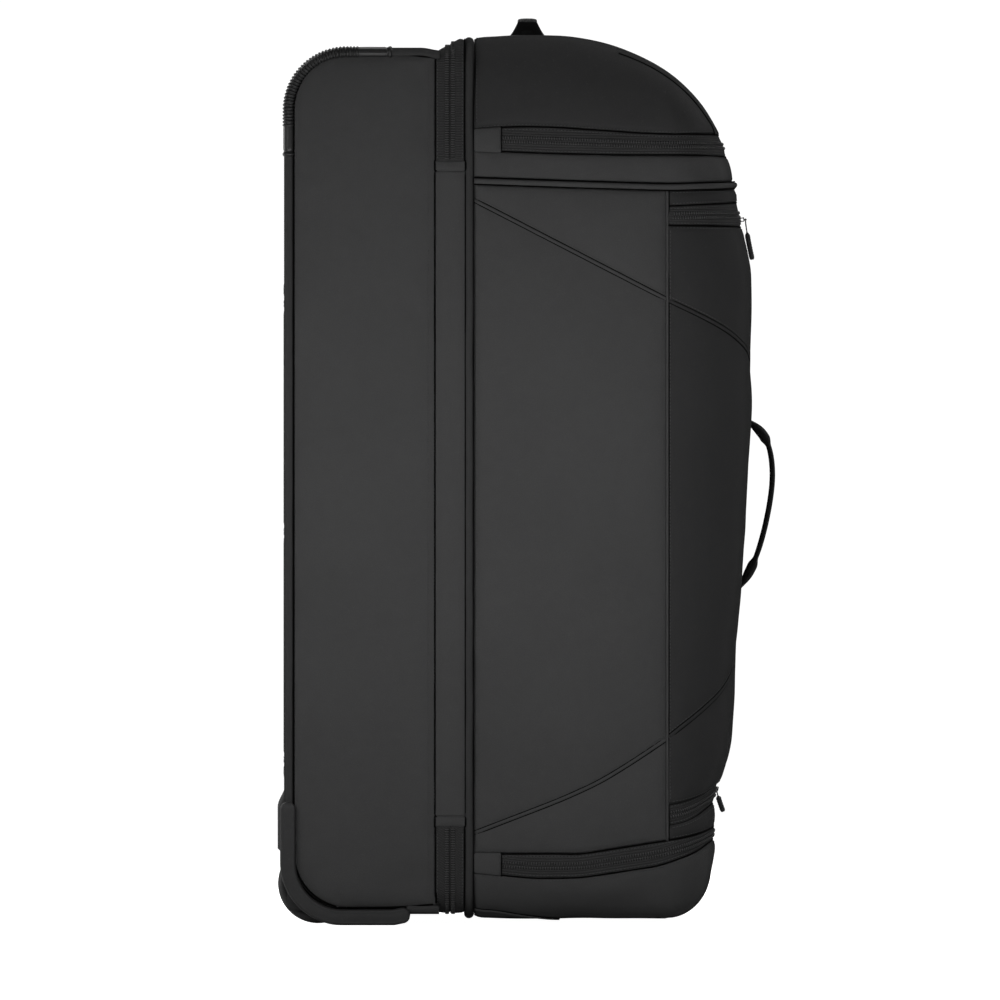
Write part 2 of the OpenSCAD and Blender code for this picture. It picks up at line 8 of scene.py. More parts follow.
import bmesh
import bpy
import numpy as np
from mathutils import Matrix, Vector


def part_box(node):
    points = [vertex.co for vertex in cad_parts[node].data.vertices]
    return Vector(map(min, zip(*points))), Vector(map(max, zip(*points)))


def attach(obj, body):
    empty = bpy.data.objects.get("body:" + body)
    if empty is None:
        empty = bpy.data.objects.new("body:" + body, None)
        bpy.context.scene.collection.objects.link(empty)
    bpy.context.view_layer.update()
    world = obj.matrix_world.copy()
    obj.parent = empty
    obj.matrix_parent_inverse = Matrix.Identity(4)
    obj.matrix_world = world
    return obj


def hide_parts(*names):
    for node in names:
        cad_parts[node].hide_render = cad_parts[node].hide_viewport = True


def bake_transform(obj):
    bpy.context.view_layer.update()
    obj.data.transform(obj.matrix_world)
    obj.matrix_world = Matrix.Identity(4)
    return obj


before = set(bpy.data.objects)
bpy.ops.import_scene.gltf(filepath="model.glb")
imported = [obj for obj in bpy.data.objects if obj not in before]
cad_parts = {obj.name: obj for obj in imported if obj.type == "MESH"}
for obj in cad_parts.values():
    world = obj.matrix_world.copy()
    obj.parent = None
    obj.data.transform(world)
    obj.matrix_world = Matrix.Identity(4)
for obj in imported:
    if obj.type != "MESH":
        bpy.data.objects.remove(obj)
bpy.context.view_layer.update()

MM = 0.001


def corners(node):
    """Lowest and highest corner of a frame node."""
    low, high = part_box(node)
    return np.array(low), np.array(high)


# ---------------------------------------------------------------- places read from the frame
PIPE_LO, PIPE_HI = corners("tray_piping_right")
TAPE_LO, TAPE_HI = corners("tray_zip_tape")
FTAPE_LO, FTAPE_HI = corners("front_zip_tape")
HINGE_LO, HINGE_HI = corners("hinge_panel_front")
FSIDE_LO, FSIDE_HI = corners("front_side_right")
CUP_LO, CUP_HI = corners("handle_cup")
WHEEL_LO, WHEEL_HI = corners("wheel_tyre_right")
SHROUD_LO, SHROUD_HI = corners("tube_shroud")
TOPGRAB_LO, TOPGRAB_HI = corners("top_handle")

BACK = PIPE_LO[0]
TRAY_X = TAPE_LO[0]
HALF_W = corners("tray_side_right")[1][1]
TRAY_LOW, TRAY_TOP = PIPE_LO[2], PIPE_HI[2]
PIPE_R = (PIPE_HI[1] - PIPE_LO[1]) / 2
PIPE_Y = PIPE_LO[1] + PIPE_R
COIL_X = (TAPE_HI[0] + FTAPE_LO[0]) / 2
MOUTH_X = FTAPE_HI[0]
TUB_X = FSIDE_LO[0]
SEAM_X = FSIDE_HI[0]
FRONT_X = corners("front_panel")[1][0]
CASE_LOW = corners("bottom_cap")[0][2]
CASE_TOP = corners("top_cap")[1][2]
BAND_Y, BAND_LOW, BAND_TOP = TAPE_HI[1], TAPE_LO[2], TAPE_HI[2]
HINGE_LOW, HINGE_TOP = HINGE_LO[2], HINGE_HI[2]

TRAY_R = 57 * MM                     # the tray's back corners, seen from the side
BAND_R = 24 * MM                     # the band's corners, seen from the front
PLAN_R = 75 * MM                     # the front's upright edges, seen from above
WELL_R = 42 * MM


# ---------------------------------------------------------------- curves and fields
def smooth(x):
    """3x^2 - 2x^3 of x held between 0 and 1."""
    x = np.clip(x, 0, 1)
    return x * x * (3 - 2 * x)


def unit(v):
    """Vectors scaled to length 1."""
    return v / np.maximum(np.linalg.norm(v, axis=-1, keepdims=True), 1e-12)


def spread(start, end, count, ends=0.5):
    """count stations from start to end, closer together near both ends: linear mixed with a cosine."""
    u = np.linspace(0, 1, count)
    return start + (end - start) * ((1 - ends) * u + ends * (1 - np.cos(np.pi * u)) / 2)


def stations(start, end, step, *marks):
    """Stations about step apart from start to end that fall exactly on each mark."""
    stops = sorted({start, end, *[m for m in marks if start < m < end]})
    runs = [np.linspace(a, b, max(1, round((b - a) / step)) + 1)[:-1] for a, b in zip(stops, stops[1:])]
    return np.concatenate(runs + [[end]])


def ripples(points, wavelength, seed):
    """Soft random field, about -1 to 1: sines of the position along seeded random directions, summed."""
    local = np.random.default_rng(seed)
    terms = 14
    waves = unit(local.normal(size=(terms, 3)))
    waves *= (2 * np.pi / wavelength * local.uniform(0.6, 1.6, terms))[:, None]
    phase = local.uniform(0, 2 * np.pi, terms)
    return np.sin(points @ waves.T + phase).sum(-1) / math.sqrt(terms * 1.4)


def arc(centre, radius, start, end, count):
    """Points centre + radius (cos a, sin a), for a from start to end degrees."""
    a = np.radians(np.linspace(start, end, count))
    return np.column_stack([centre[0] + radius * np.cos(a), centre[1] + radius * np.sin(a)])


def resample(path, step):
    """The same polyline with points evenly about step apart; further columns ride along."""
    path = np.asarray(path, float)
    run = np.concatenate([[0], np.cumsum(np.linalg.norm(np.diff(path[:, :3], axis=0), axis=1))])
    at = np.linspace(0, run[-1], max(2, int(round(run[-1] / step)) + 1))
    return np.column_stack([np.interp(at, run, path[:, k]) for k in range(path.shape[1])])


def soft_line(points, blur=5 * MM):
    """A function through (position, value) points, with its corners rounded by averaging over blur."""
    points = np.asarray(points, float) * MM
    at = np.linspace(points[0, 0] - 4 * blur, points[-1, 0] + 4 * blur, 700)
    slope0 = (points[1, 1] - points[0, 1]) / (points[1, 0] - points[0, 0])
    slope1 = (points[-1, 1] - points[-2, 1]) / (points[-1, 0] - points[-2, 0])
    raw = np.interp(at, points[:, 0], points[:, 1])
    raw += slope0 * np.minimum(at - points[0, 0], 0) + slope1 * np.maximum(at - points[-1, 0], 0)
    weight = np.exp(-0.5 * ((at[:, None] - at[None]) / blur) ** 2)
    value = (weight * raw).sum(1) / weight.sum(1)
    inner = (at >= points[0, 0] - blur) & (at <= points[-1, 0] + blur)
    return lambda x: np.interp(x, at[inner], value[inner])


def curve3(points, step=2 * MM):
    """A smooth polyline through roughly these points: corner cutting repeated, then even spacing."""
    path = np.asarray(points, float)
    for _ in range(4):
        near = 0.75 * path[:-1] + 0.25 * path[1:]
        far = 0.25 * path[:-1] + 0.75 * path[1:]
        path = np.concatenate([path[:1], np.stack([near, far], 1).reshape(-1, path.shape[1]), path[-1:]])
    return resample(path, step)


# ---------------------------------------------------------------- shader groups
def new_group(name, inputs, outputs):
    """An empty shader group with the named float, vector or colour sockets."""
    kinds = {"value": "NodeSocketFloat", "vector": "NodeSocketVector", "colour": "NodeSocketColor"}
    tree = bpy.data.node_groups.new(name, "ShaderNodeTree")
    for socket, kind, default in inputs:
        item = tree.interface.new_socket(name=socket, in_out="INPUT", socket_type=kinds[kind])
        if default is not None:
            item.default_value = default
    for socket, kind in outputs:
        tree.interface.new_socket(name=socket, in_out="OUTPUT", socket_type=kinds[kind])
    return tree, tree.nodes.new("NodeGroupInput"), tree.nodes.new("NodeGroupOutput")


def add(tree, kind, settings=None, **inputs):
    """A node with its settings and its inputs, each a value or another node's output."""
    node = tree.nodes.new("ShaderNode" + kind)
    for key, value in (settings or {}).items():
        setattr(node, key, value)
    for key, value in inputs.items():
        numbered = key[0] == "i" and key[1:].isdigit()
        socket = node.inputs[int(key[1:]) if numbered else key.replace("_", " ")]
        if isinstance(value, bpy.types.NodeSocket):
            tree.links.new(value, socket)
        else:
            socket.default_value = value
    return node


def maths(tree, operation, a, b=0.0, c=0.0):
    """Output of a Math node."""
    return add(tree, "Math", {"operation": operation}, i0=a, i1=b, i2=c).outputs[0]


def weave_group():
    """Plain weave on a UV map in metres: |sin(pi u n) sin(pi v n)| threads, lifted on alternate crossings.
    Tone is slub noise mixed with painted shade, lighter on the thread crowns and darker between the threads.
    """
    tree, given, result = new_group(
        "plain_weave", [("UV", "vector", None), ("Threads", "value", 1800.0)],
        [("Height", "value"), ("Tone", "value")])
    split = add(tree, "SeparateXYZ", Vector=given.outputs["UV"])
    turns = maths(tree, "MULTIPLY", given.outputs["Threads"], math.pi)
    u = maths(tree, "SINE", maths(tree, "MULTIPLY", split.outputs[0], turns))
    v = maths(tree, "SINE", maths(tree, "MULTIPLY", split.outputs[1], turns))
    product = maths(tree, "MULTIPLY", u, v)
    lobes = maths(tree, "ABSOLUTE", product)
    tree.links.new(maths(tree, "MULTIPLY_ADD", product, 0.35, lobes), result.inputs["Height"])
    slub = add(tree, "TexNoise", {"noise_dimensions": "2D"}, Vector=given.outputs["UV"], Scale=900.0,
               Detail=1.0)
    tree.links.new(maths(tree, "MULTIPLY_ADD", slub.outputs[0], 0.5, maths(tree, "MULTIPLY", lobes, 0.5)),
                   result.inputs["Tone"])
    return tree


def rib_group():
    """Woven tape: fine ribs |sin| along the tape, crossed by a herringbone of shorter ones, on a UV map. Tone
    is painted shade: the rib height itself, darker in the grooves.
    """
    tree, given, result = new_group(
        "tape_rib", [("UV", "vector", None), ("Pitch", "value", 0.0011)],
        [("Height", "value"), ("Tone", "value")])
    split = add(tree, "SeparateXYZ", Vector=given.outputs["UV"])
    turn = maths(tree, "DIVIDE", math.pi, given.outputs["Pitch"])
    across = maths(tree, "ABSOLUTE", maths(tree, "SINE", maths(tree, "MULTIPLY", split.outputs[0], turn)))
    slant = maths(tree, "ADD", split.outputs[1], maths(tree, "PINGPONG", split.outputs[0], 0.0022))
    fine = maths(tree, "ABSOLUTE", maths(tree, "SINE", maths(tree, "MULTIPLY", slant, turn)))
    height = maths(tree, "MULTIPLY_ADD", fine, 0.35, across)
    tree.links.new(height, result.inputs["Height"])
    tree.links.new(maths(tree, "MULTIPLY", height, 0.74), result.inputs["Tone"])
    return tree


def mottle_group():
    """Slow unevenness of a finish: two noises of the position, mixed, from 0 to 1."""
    tree, given, result = new_group(
        "mottle", [("Vector", "vector", None), ("Scale", "value", 12.0)], [("Value", "value")])
    broad = add(tree, "TexNoise", None, Vector=given.outputs["Vector"], Scale=given.outputs["Scale"],
                Detail=3.0)
    finer = maths(tree, "MULTIPLY", given.outputs["Scale"], 9.0)
    fine = add(tree, "TexNoise", None, Vector=given.outputs["Vector"], Scale=finer, Detail=2.0)
    share = maths(tree, "MULTIPLY", broad.outputs[0], 0.6)
    tree.links.new(maths(tree, "MULTIPLY_ADD", fine.outputs[0], 0.4, share), result.inputs["Value"])
    return tree


def grain_group():
    """Moulded grain: smooth Voronoi pits broken up by noise. Height from 0 to 1."""
    tree, given, result = new_group(
        "moulded_grain", [("Vector", "vector", None), ("Scale", "value", 900.0)], [("Height", "value")])
    pits = add(tree, "TexVoronoi", {"feature": "SMOOTH_F1"}, Vector=given.outputs["Vector"],
               Scale=given.outputs["Scale"])
    double = maths(tree, "MULTIPLY", given.outputs["Scale"], 1.7)
    noise = add(tree, "TexNoise", None, Vector=given.outputs["Vector"], Scale=double, Detail=1.5)
    tree.links.new(maths(tree, "MULTIPLY_ADD", noise.outputs[0], 0.5, pits.outputs["Distance"]),
                   result.inputs["Height"])
    return tree


def rub_group():
    """Edge rub: convex edges broken up by noise, as a mask from 0 to 1."""
    tree, given, result = new_group(
        "edge_rub", [("Vector", "vector", None), ("Amount", "value", 1.0)], [("Mask", "value")])
    geometry = add(tree, "NewGeometry")
    edge = add(tree, "MapRange", {"interpolation_type": "SMOOTHSTEP"}, Value=geometry.outputs["Pointiness"],
               i1=0.53, i2=0.62)
    noise = add(tree, "TexNoise", None, Vector=given.outputs["Vector"], Scale=70.0, Detail=4.0)
    worn = maths(tree, "MULTIPLY", edge.outputs[0], maths(tree, "POWER", noise.outputs[0], 1.6))
    tree.links.new(maths(tree, "MULTIPLY", worn, given.outputs["Amount"]), result.inputs["Mask"])
    return tree


def dust_group():
    """Lint and dust: sparse specks of noise, more of them on surfaces that face up. Mask from 0 to 1."""
    tree, given, result = new_group(
        "dust", [("Vector", "vector", None), ("Amount", "value", 1.0)], [("Mask", "value")])
    geometry = add(tree, "NewGeometry")
    up = add(tree, "SeparateXYZ", Vector=geometry.outputs["Normal"])
    facing = add(tree, "MapRange", None, Value=up.outputs[2], i1=-0.2, i2=1.0, i3=0.25, i4=1.0)
    specks = add(tree, "TexNoise", None, Vector=given.outputs["Vector"], Scale=420.0, Detail=2.0)
    few = add(tree, "MapRange", None, Value=specks.outputs[0], i1=0.64, i2=0.76)
    cloud = add(tree, "TexNoise", None, Vector=given.outputs["Vector"], Scale=9.0, Detail=3.0)
    some = maths(tree, "MULTIPLY", few.outputs[0], cloud.outputs[0])
    total = maths(tree, "MULTIPLY", maths(tree, "MULTIPLY", some, facing.outputs[0]), given.outputs["Amount"])
    tree.links.new(total, result.inputs["Mask"])
    return tree


WEAVE, RIB, MOTTLE, GRAIN, RUB, DUST = (
    weave_group(), rib_group(), mottle_group(), grain_group(), rub_group(), dust_group())


# ---------------------------------------------------------------- materials
class Finish:
    """A material being put together: its tree, Principled shader and the object or UV coordinates."""

    def __init__(self, name, metallic=0.0, specular=0.5, **constants):
        self.material = bpy.data.materials.new(name)
        self.material.use_nodes = True
        self.tree = self.material.node_tree
        self.shader = self.tree.nodes["Principled BSDF"]
        self.shader.inputs["Metallic"].default_value = metallic
        self.shader.inputs["Specular IOR Level"].default_value = specular
        for key, value in constants.items():
            self.shader.inputs[key.replace("_", " ")].default_value = value
        place = add(self.tree, "TexCoord")
        self.object, self.uv = place.outputs["Object"], place.outputs["UV"]

    def use(self, group, **inputs):
        """One of the shared groups, placed in this material."""
        node = self.tree.nodes.new("ShaderNodeGroup")
        node.node_tree = group
        for key, value in inputs.items():
            if isinstance(value, bpy.types.NodeSocket):
                self.tree.links.new(value, node.inputs[key])
            else:
                node.inputs[key].default_value = value
        return node.outputs

    def mix(self, share, a, b):
        """Colour a turned towards b by share."""
        a = (*a, 1) if isinstance(a, tuple) else a
        b = (*b, 1) if isinstance(b, tuple) else b
        node = add(self.tree, "Mix", {"data_type": "RGBA"}, i0=share, i6=a, i7=b)
        return node.outputs[2]

    def stretch(self, value, low, high, to_low, to_high):
        """value mapped from low..high to to_low..to_high."""
        node = add(self.tree, "MapRange", None, Value=value, i1=low, i2=high, i3=to_low, i4=to_high)
        return node.outputs[0]

    def turned(self, colour, amount, start):
        """Painted shade: colour made darker where the surface turns away, from the share start of the turn.
        """
        facing = add(self.tree, "LayerWeight", None, Blend=0.5).outputs["Facing"]
        share = self.stretch(facing, start, start + 0.36, 0, amount)
        return self.mix(share, colour, (0.0015, 0.0015, 0.0016))

    def finish(self, colour, rough, heights):
        """Wires colour and roughness, and stacks (height, distance, strength) bumps."""
        self.tree.links.new(colour, self.shader.inputs["Base Color"])
        self.tree.links.new(rough, self.shader.inputs["Roughness"])
        normal = None
        for height, distance, strength in heights:
            bump = add(self.tree, "Bump", None, Height=height, Distance=distance, Strength=strength)
            if normal is not None:
                self.tree.links.new(normal, bump.inputs["Normal"])
            normal = bump.outputs[0]
        if normal is not None:
            self.tree.links.new(normal, self.shader.inputs["Normal"])
        return self.material


def shade(colour, factor):
    """A colour made lighter or darker."""
    return tuple(min(1.0, c * factor) for c in colour)


def cloth(name, colour, threads=1800.0, rough=0.86, group=WEAVE, depth=0.00016, specular=0.12, vary=0.16,
          dust=0.15, shadow=0.45, turn=0.58):
    """Coated polyester: weave tone (slub noise and painted shade between the threads, shadow setting how
    dark) and height on the piece's UV, slow mottling, a few specks of lint, and painted shade where the
    surface turns away.
    """
    f = Finish(name, specular=specular)
    threads_in = {"Threads": threads} if group is WEAVE else {"Pitch": threads}
    woven = f.use(group, UV=f.uv, **threads_in)
    uneven = f.use(MOTTLE, Vector=f.object, Scale=14.0)
    base = f.mix(f.stretch(uneven["Value"], 0.3, 0.7, 0, 1), shade(colour, 1 - vary / 2),
                 shade(colour, 1 + vary / 2))
    # painted shade between the threads: low weave Tone turns the colour towards 0.4 of itself, by up to
    # shadow
    base = f.mix(f.stretch(woven["Tone"], 0.1, 0.9, shadow, 0), base, shade(colour, 0.4))
    base = f.mix(f.use(DUST, Vector=f.object, Amount=dust)["Mask"], base, (0.16, 0.16, 0.16))
    # painted shade where the surface turns away from view
    base = f.turned(base, 0.9, turn)
    rougher = f.stretch(uneven["Value"], 0.3, 0.7, rough - 0.05, rough + 0.05)
    creases = f.use(MOTTLE, Vector=f.object, Scale=46.0)
    return f.finish(base, rougher, [(creases["Value"], 0.0009, 0.3), (woven["Height"], depth, 0.75)])


def moulded(name, colour, rough=0.5, grain=900.0, depth=0.00009, rub=0.5, specular=0.4, lighter=2.4,
            dust=0.35, turn=0.6):
    """Moulded plastic or rubber: fine pitted grain, rubbed edges, a little dust, and painted shade where the
    surface turns away.
    """
    f = Finish(name, specular=specular)
    uneven = f.use(MOTTLE, Vector=f.object, Scale=11.0)
    base = f.mix(f.stretch(uneven["Value"], 0.3, 0.7, 0, 1), shade(colour, 0.9), shade(colour, 1.12))
    worn = f.use(RUB, Vector=f.object, Amount=rub)["Mask"]
    base = f.mix(worn, base, shade(colour, lighter))
    base = f.mix(f.use(DUST, Vector=f.object, Amount=dust)["Mask"], base, (0.14, 0.14, 0.14))
    # painted shade where the surface turns away from view
    base = f.turned(base, 0.8, turn)
    rougher = f.stretch(uneven["Value"], 0.3, 0.7, rough - 0.07, rough + 0.07)
    pitted = f.use(GRAIN, Vector=f.object, Scale=grain)
    return f.finish(base, rougher, [(pitted["Height"], depth, 0.6)])


def drawn_metal(name, colour, rough, along=(1.0, 1.0, 0.02)):
    """Drawn or brushed metal: noise pulled out along one axis moves the tone, roughness and height."""
    f = Finish(name, metallic=1.0)
    pulled = add(f.tree, "Mapping", None, Vector=f.object, Scale=along)
    lines = add(f.tree, "TexNoise", None, Vector=pulled.outputs[0], Scale=1600.0, Detail=3.0)
    uneven = f.use(MOTTLE, Vector=f.object, Scale=9.0)
    base = f.mix(f.stretch(lines.outputs[0], 0.35, 0.65, 0, 0.25), colour, shade(colour, 0.6))
    base = f.mix(f.use(RUB, Vector=f.object, Amount=0.5)["Mask"], base, shade(colour, 1.5))
    rougher = f.stretch(uneven["Value"], 0.3, 0.7, rough - 0.06, rough + 0.08)
    return f.finish(base, rougher, [(lines.outputs[0], 0.00002, 0.3)])


PANEL = cloth("panel_fabric", (0.0480, 0.0480, 0.0483))
# Cap, front and foot: darker copies of the panel fabric, painted shade where the lid, the front face and the
# underside turn from the light.
CAP = cloth("cap_fabric", (0.0285, 0.0285, 0.0288), rough=0.84)
FRONT = cloth("front_fabric", (0.0245, 0.0245, 0.0248))
FOOT = cloth("shaded_foot_fabric", (0.0430, 0.0430, 0.0433))
TAPE = cloth("zip_tape", (0.0260, 0.0260, 0.0262), threads=0.0023, group=RIB, depth=0.0005, vary=0.2,
             shadow=0.7)
# Piping: painted shade begins early in the turn (0.16), so the cord darkens towards both its sides.
TRIM = cloth("piping_cover", (0.0300, 0.0300, 0.0303), threads=1500.0, rough=0.7, turn=0.16)
WEB = cloth("webbing", (0.0110, 0.0110, 0.0112), threads=0.0022, group=RIB, depth=0.0006, rough=0.8)
LINING = cloth("lining", (0.150, 0.150, 0.153), threads=2600.0, rough=0.7, depth=0.0001)
THREAD = cloth("thread", (0.058, 0.058, 0.059), threads=3000.0, depth=0.00005, dust=0.0)
# Near-black cords laid along seams and turned edges: painted shade where one piece meets the next.
SEAM_SHADE = cloth("painted_seam_shade", (0.0025, 0.0025, 0.0025), rough=0.95, specular=0.02, dust=0.0)
COIL = moulded("coil_plastic", (0.024, 0.024, 0.0243), rough=0.45, grain=2500.0, depth=0.00002, rub=0.3,
               dust=0.1)
# Corner sleeve: painted shade begins early in the turn (0.12); its lighter rubbed rib crests are partly wear
# and partly a painted highlight.
GUARD = moulded("guard_plastic", (0.0110, 0.0110, 0.0112), rough=0.38, specular=0.3, lighter=2.0, turn=0.12)
BUMPER = moulded("bumper_plastic", (0.0225, 0.0225, 0.0228), rough=0.6, specular=0.16, lighter=1.8)
BOARD = moulded("board_plastic", (0.030, 0.030, 0.031), rough=0.6, grain=700.0)
GRIP = moulded("grip_plastic", (0.022, 0.022, 0.023), rough=0.5)
HUB = moulded("wheel_plastic", (0.026, 0.026, 0.027), rough=0.4, grain=1200.0, rub=0.8)
TYRE = moulded("tyre_rubber", (0.019, 0.019, 0.019), rough=0.72, grain=1400.0, rub=0.8, dust=0.9,
               specular=0.3)
PULL = moulded("pull_rubber", (0.020, 0.020, 0.021), rough=0.62, grain=1500.0, depth=0.00005)
ZIPMETAL = moulded("zip_metal", (0.030, 0.030, 0.032), rough=0.34, grain=1800.0, depth=0.00002, specular=0.6)
TUBE = drawn_metal("tube_metal", (0.34, 0.34, 0.35), 0.34)
STEEL = drawn_metal("steel", (0.55, 0.55, 0.56), 0.3, along=(1.0, 1.0, 1.0))


# ---------------------------------------------------------------- meshes
def piece(name, verts, faces, material, body, uv=None, turn=False):
    """A smooth-shaded mesh object, riding on a body if one is given; turn faces a closed shell outwards."""
    mesh = bpy.data.meshes.new(name)
    faces = [f for part in (faces if isinstance(faces, list) else [faces]) for f in np.asarray(part).tolist()]
    mesh.from_pydata(np.asarray(verts, float).reshape(-1, 3).tolist(), [], faces)
    if uv is not None:
        corner = np.empty(len(mesh.loops), np.int32)
        mesh.loops.foreach_get("vertex_index", corner)
        layer = mesh.uv_layers.new(name="UVMap")
        layer.data.foreach_set("uv", np.asarray(uv, np.float32).reshape(-1, 2)[corner].ravel())
    if turn:
        shell = bmesh.new()
        shell.from_mesh(mesh)
        bmesh.ops.recalc_face_normals(shell, faces=shell.faces)
        shell.to_mesh(mesh)
        shell.free()
    mesh.polygons.foreach_set("use_smooth", np.full(len(mesh.polygons), True))
    mesh.update()
    made = bpy.data.objects.new(name, mesh)
    bpy.context.scene.collection.objects.link(made)
    for m in material if isinstance(material, list) else [material]:
        mesh.materials.append(m)
    if body:
        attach(made, body)
    return made


def grid_faces(rows, cols, wrap_rows=False, wrap_cols=False):
    """Quads of a rows x cols grid of vertices, closed on itself where asked."""
    i, j = np.meshgrid(np.arange(rows if wrap_rows else rows - 1), np.arange(cols if wrap_cols else cols - 1),
                       indexing="ij")
    k, m = (i + 1) % rows, (j + 1) % cols
    return np.stack([i * cols + j, k * cols + j, k * cols + m, i * cols + m], -1).reshape(-1, 4)


def lengths(points, axis):
    """Running length along one axis of a grid of points."""
    gaps = np.linalg.norm(np.diff(points, axis=axis), axis=-1)
    return np.concatenate([np.zeros_like(np.take(gaps, [0], axis)), np.cumsum(gaps, axis=axis)], axis=axis)


class Sheet:
    """A panel of cloth as a grid of points, which can be crowned, tucked, pushed about and sewn."""

    def __init__(self, points, away=(0.0, 0.0, 0.4)):
        self.base = np.array(points, float)
        self.points = self.base.copy()
        self.run0, self.run1 = lengths(self.base, 0), lengths(self.base, 1)
        self.edge0 = np.minimum(self.run0, self.run0[-1:] - self.run0)
        self.edge1 = np.minimum(self.run1, self.run1[:, -1:] - self.run1)
        cross = unit(np.cross(np.gradient(self.base, axis=0), np.gradient(self.base, axis=1)))
        self.flip = (cross * (self.base - np.array(away))).sum() < 0
        self.normals = -cross if self.flip else cross

    def push(self, height):
        """Moves each point along its normal."""
        self.points = self.points + self.normals * (np.zeros(self.edge0.shape) + height)[..., None]
        return self

    def relief(self, crown, tuck, seed, pucker=0.30 * MM, wander=0.7 * MM, reach=45 * MM):
        """Padded look: crown (1 - e^(-edge/reach)) less a tuck at the edges, with puckers and soft folds."""
        e0, e1, tight = self.edge0, self.edge1, 2.6 * MM
        edge = np.minimum(e0, e1)
        height = crown * (1 - np.exp(-e0 / reach)) * (1 - np.exp(-e1 / reach))
        height -= tuck * (np.exp(-e0 / tight) + np.exp(-e1 / tight) - np.exp(-(e0 + e1) / tight))
        fade = 1 - np.exp(-edge / (3 * MM))
        height += pucker * ripples(self.base, 24 * MM, seed) * np.exp(-edge / (14 * MM)) * fade
        height += 0.45 * pucker * ripples(self.base, 10 * MM, seed + 1) * np.exp(-edge / (8 * MM)) * fade
        height += wander * ripples(self.base, 170 * MM, seed + 2) * (1 - np.exp(-edge / reach))
        height += 0.2 * wander * ripples(self.base, 52 * MM, seed + 3) * (1 - np.exp(-edge / (20 * MM)))
        return self.push(height)

    def drape(self, cap, held=None):
        """Cloth simulation: a coarser copy, held at its edges and wherever held says, is blown outwards for
        twenty frames. How far each point moved along its normal, at most about cap, is pushed in."""
        pressure, spacing, loose, last_frame = 4.0, 13 * MM, 0.012, 20
        picks = [np.unique(np.rint(np.interp(np.linspace(0, run[-1], max(6, int(run[-1] / spacing)) + 1), run,
                                             np.arange(len(run)))).astype(int))
                 for run in (self.run0.mean(1), self.run1.mean(0))]
        rows, cols = np.meshgrid(*picks, indexing="ij")
        faces = grid_faces(*rows.shape)
        mesh = bpy.data.meshes.new("drape")
        mesh.from_pydata(self.base[rows, cols].reshape(-1, 3).tolist(), [],
                         (faces[:, ::-1] if self.flip else faces).tolist())
        loose_copy = bpy.data.objects.new("drape", mesh)
        bpy.context.scene.collection.objects.link(loose_copy)
        pinned = np.zeros(rows.shape, bool)
        pinned[[0, -1]] = True
        pinned[:, [0, -1]] = True
        if held is not None:
            pinned |= held[rows, cols]
        group = loose_copy.vertex_groups.new(name="held")
        group.add(np.flatnonzero(pinned.ravel()).tolist(), 1.0, "REPLACE")
        cloth_maker = loose_copy.modifiers.new("cloth", "CLOTH")
        settings = cloth_maker.settings
        settings.quality = 4
        settings.mass = 0.3
        settings.tension_stiffness = settings.compression_stiffness = 12
        settings.shear_stiffness = 6
        settings.bending_stiffness = 0.6
        settings.vertex_group_mass = "held"
        settings.use_pressure = True
        settings.uniform_pressure_force = pressure
        settings.shrink_min = -loose
        settings.effector_weights.gravity = 0
        cloth_maker.point_cache.frame_start = 1
        cloth_maker.point_cache.frame_end = last_frame
        for number in range(1, last_frame + 1):
            bpy.context.scene.frame_set(number)
        result = loose_copy.evaluated_get(bpy.context.evaluated_depsgraph_get()).to_mesh()
        moved = np.empty(3 * rows.size)
        result.vertices.foreach_get("co", moved)
        rise = ((moved.reshape(*rows.shape, 3) - self.base[rows, cols]) * self.normals[rows, cols]).sum(-1)
        bpy.data.objects.remove(loose_copy)
        bpy.data.meshes.remove(mesh)
        bpy.context.scene.frame_set(1)
        rise = cap * np.tanh(rise / cap)
        every = [np.arange(n) for n in self.edge0.shape]
        half = np.array([np.interp(every[1], picks[1], line) for line in rise])
        field = np.array([np.interp(every[0], picks[0], line) for line in half.T]).T
        edges = field.copy()
        for _ in range(10):
            field[1:-1] = (field[:-2] + 2 * field[1:-1] + field[2:]) / 4
            field[:, 1:-1] = (field[:, :-2] + 2 * field[:, 1:-1] + field[:, 2:]) / 4
            field[[0, -1]], field[:, [0, -1]] = edges[[0, -1]], edges[:, [0, -1]]
        return self.push(field)

    def piece(self, name, material, body, slot, thick=2.2 * MM, inside=None):
        """The panel as an object, its thickness added inwards and lined with inside."""
        faces = grid_faces(*self.points.shape[:2])
        if self.flip:
            faces = faces[:, ::-1]
        uv = np.stack([self.run0, self.run1], -1)
        made = piece(name, self.points, faces, [material, inside] if inside else material, body, uv)
        if thick:
            solid = made.modifiers.new("thickness", "SOLIDIFY")
            solid.thickness = thick
            solid.offset = -1
            if inside:
                solid.material_offset = 1
        return made

    def at(self, row, col, lift=0.0):
        """Points and outward vectors at fractional rows and columns, lifted off the cloth."""
        row = np.clip(row, 0, self.points.shape[0] - 1.001)
        col = np.clip(col, 0, self.points.shape[1] - 1.001)
        i, j = row.astype(int), col.astype(int)
        a, b = (row - i)[:, None], (col - j)[:, None]

        def blend(grid):
            low = grid[i, j] * (1 - b) + grid[i, j + 1] * b
            return low * (1 - a) + (grid[i + 1, j] * (1 - b) + grid[i + 1, j + 1] * b) * a

        out = unit(blend(self.normals))
        return blend(self.points) + out * lift, out

    def along(self, axis, offset, lift=0.0, trim=0.0):
        """The line at a distance offset from an edge across axis (negative: from the far edge)."""
        run = self.run0 if axis == 0 else self.run1.T
        want = offset if offset >= 0 else run[-1] + offset
        index = np.array([np.interp(w, run[:, k], np.arange(len(run)))
                          for k, w in enumerate(np.broadcast_to(want, run.shape[1]))])
        other = np.arange(run.shape[1], dtype=float)
        at, out = self.at(index, other, lift) if axis == 0 else self.at(other, index, lift)
        run = lengths(at[:, None], 0)[:, 0]
        keep = (run >= trim) & (run <= run[-1] - trim)
        return at[keep], out[keep]


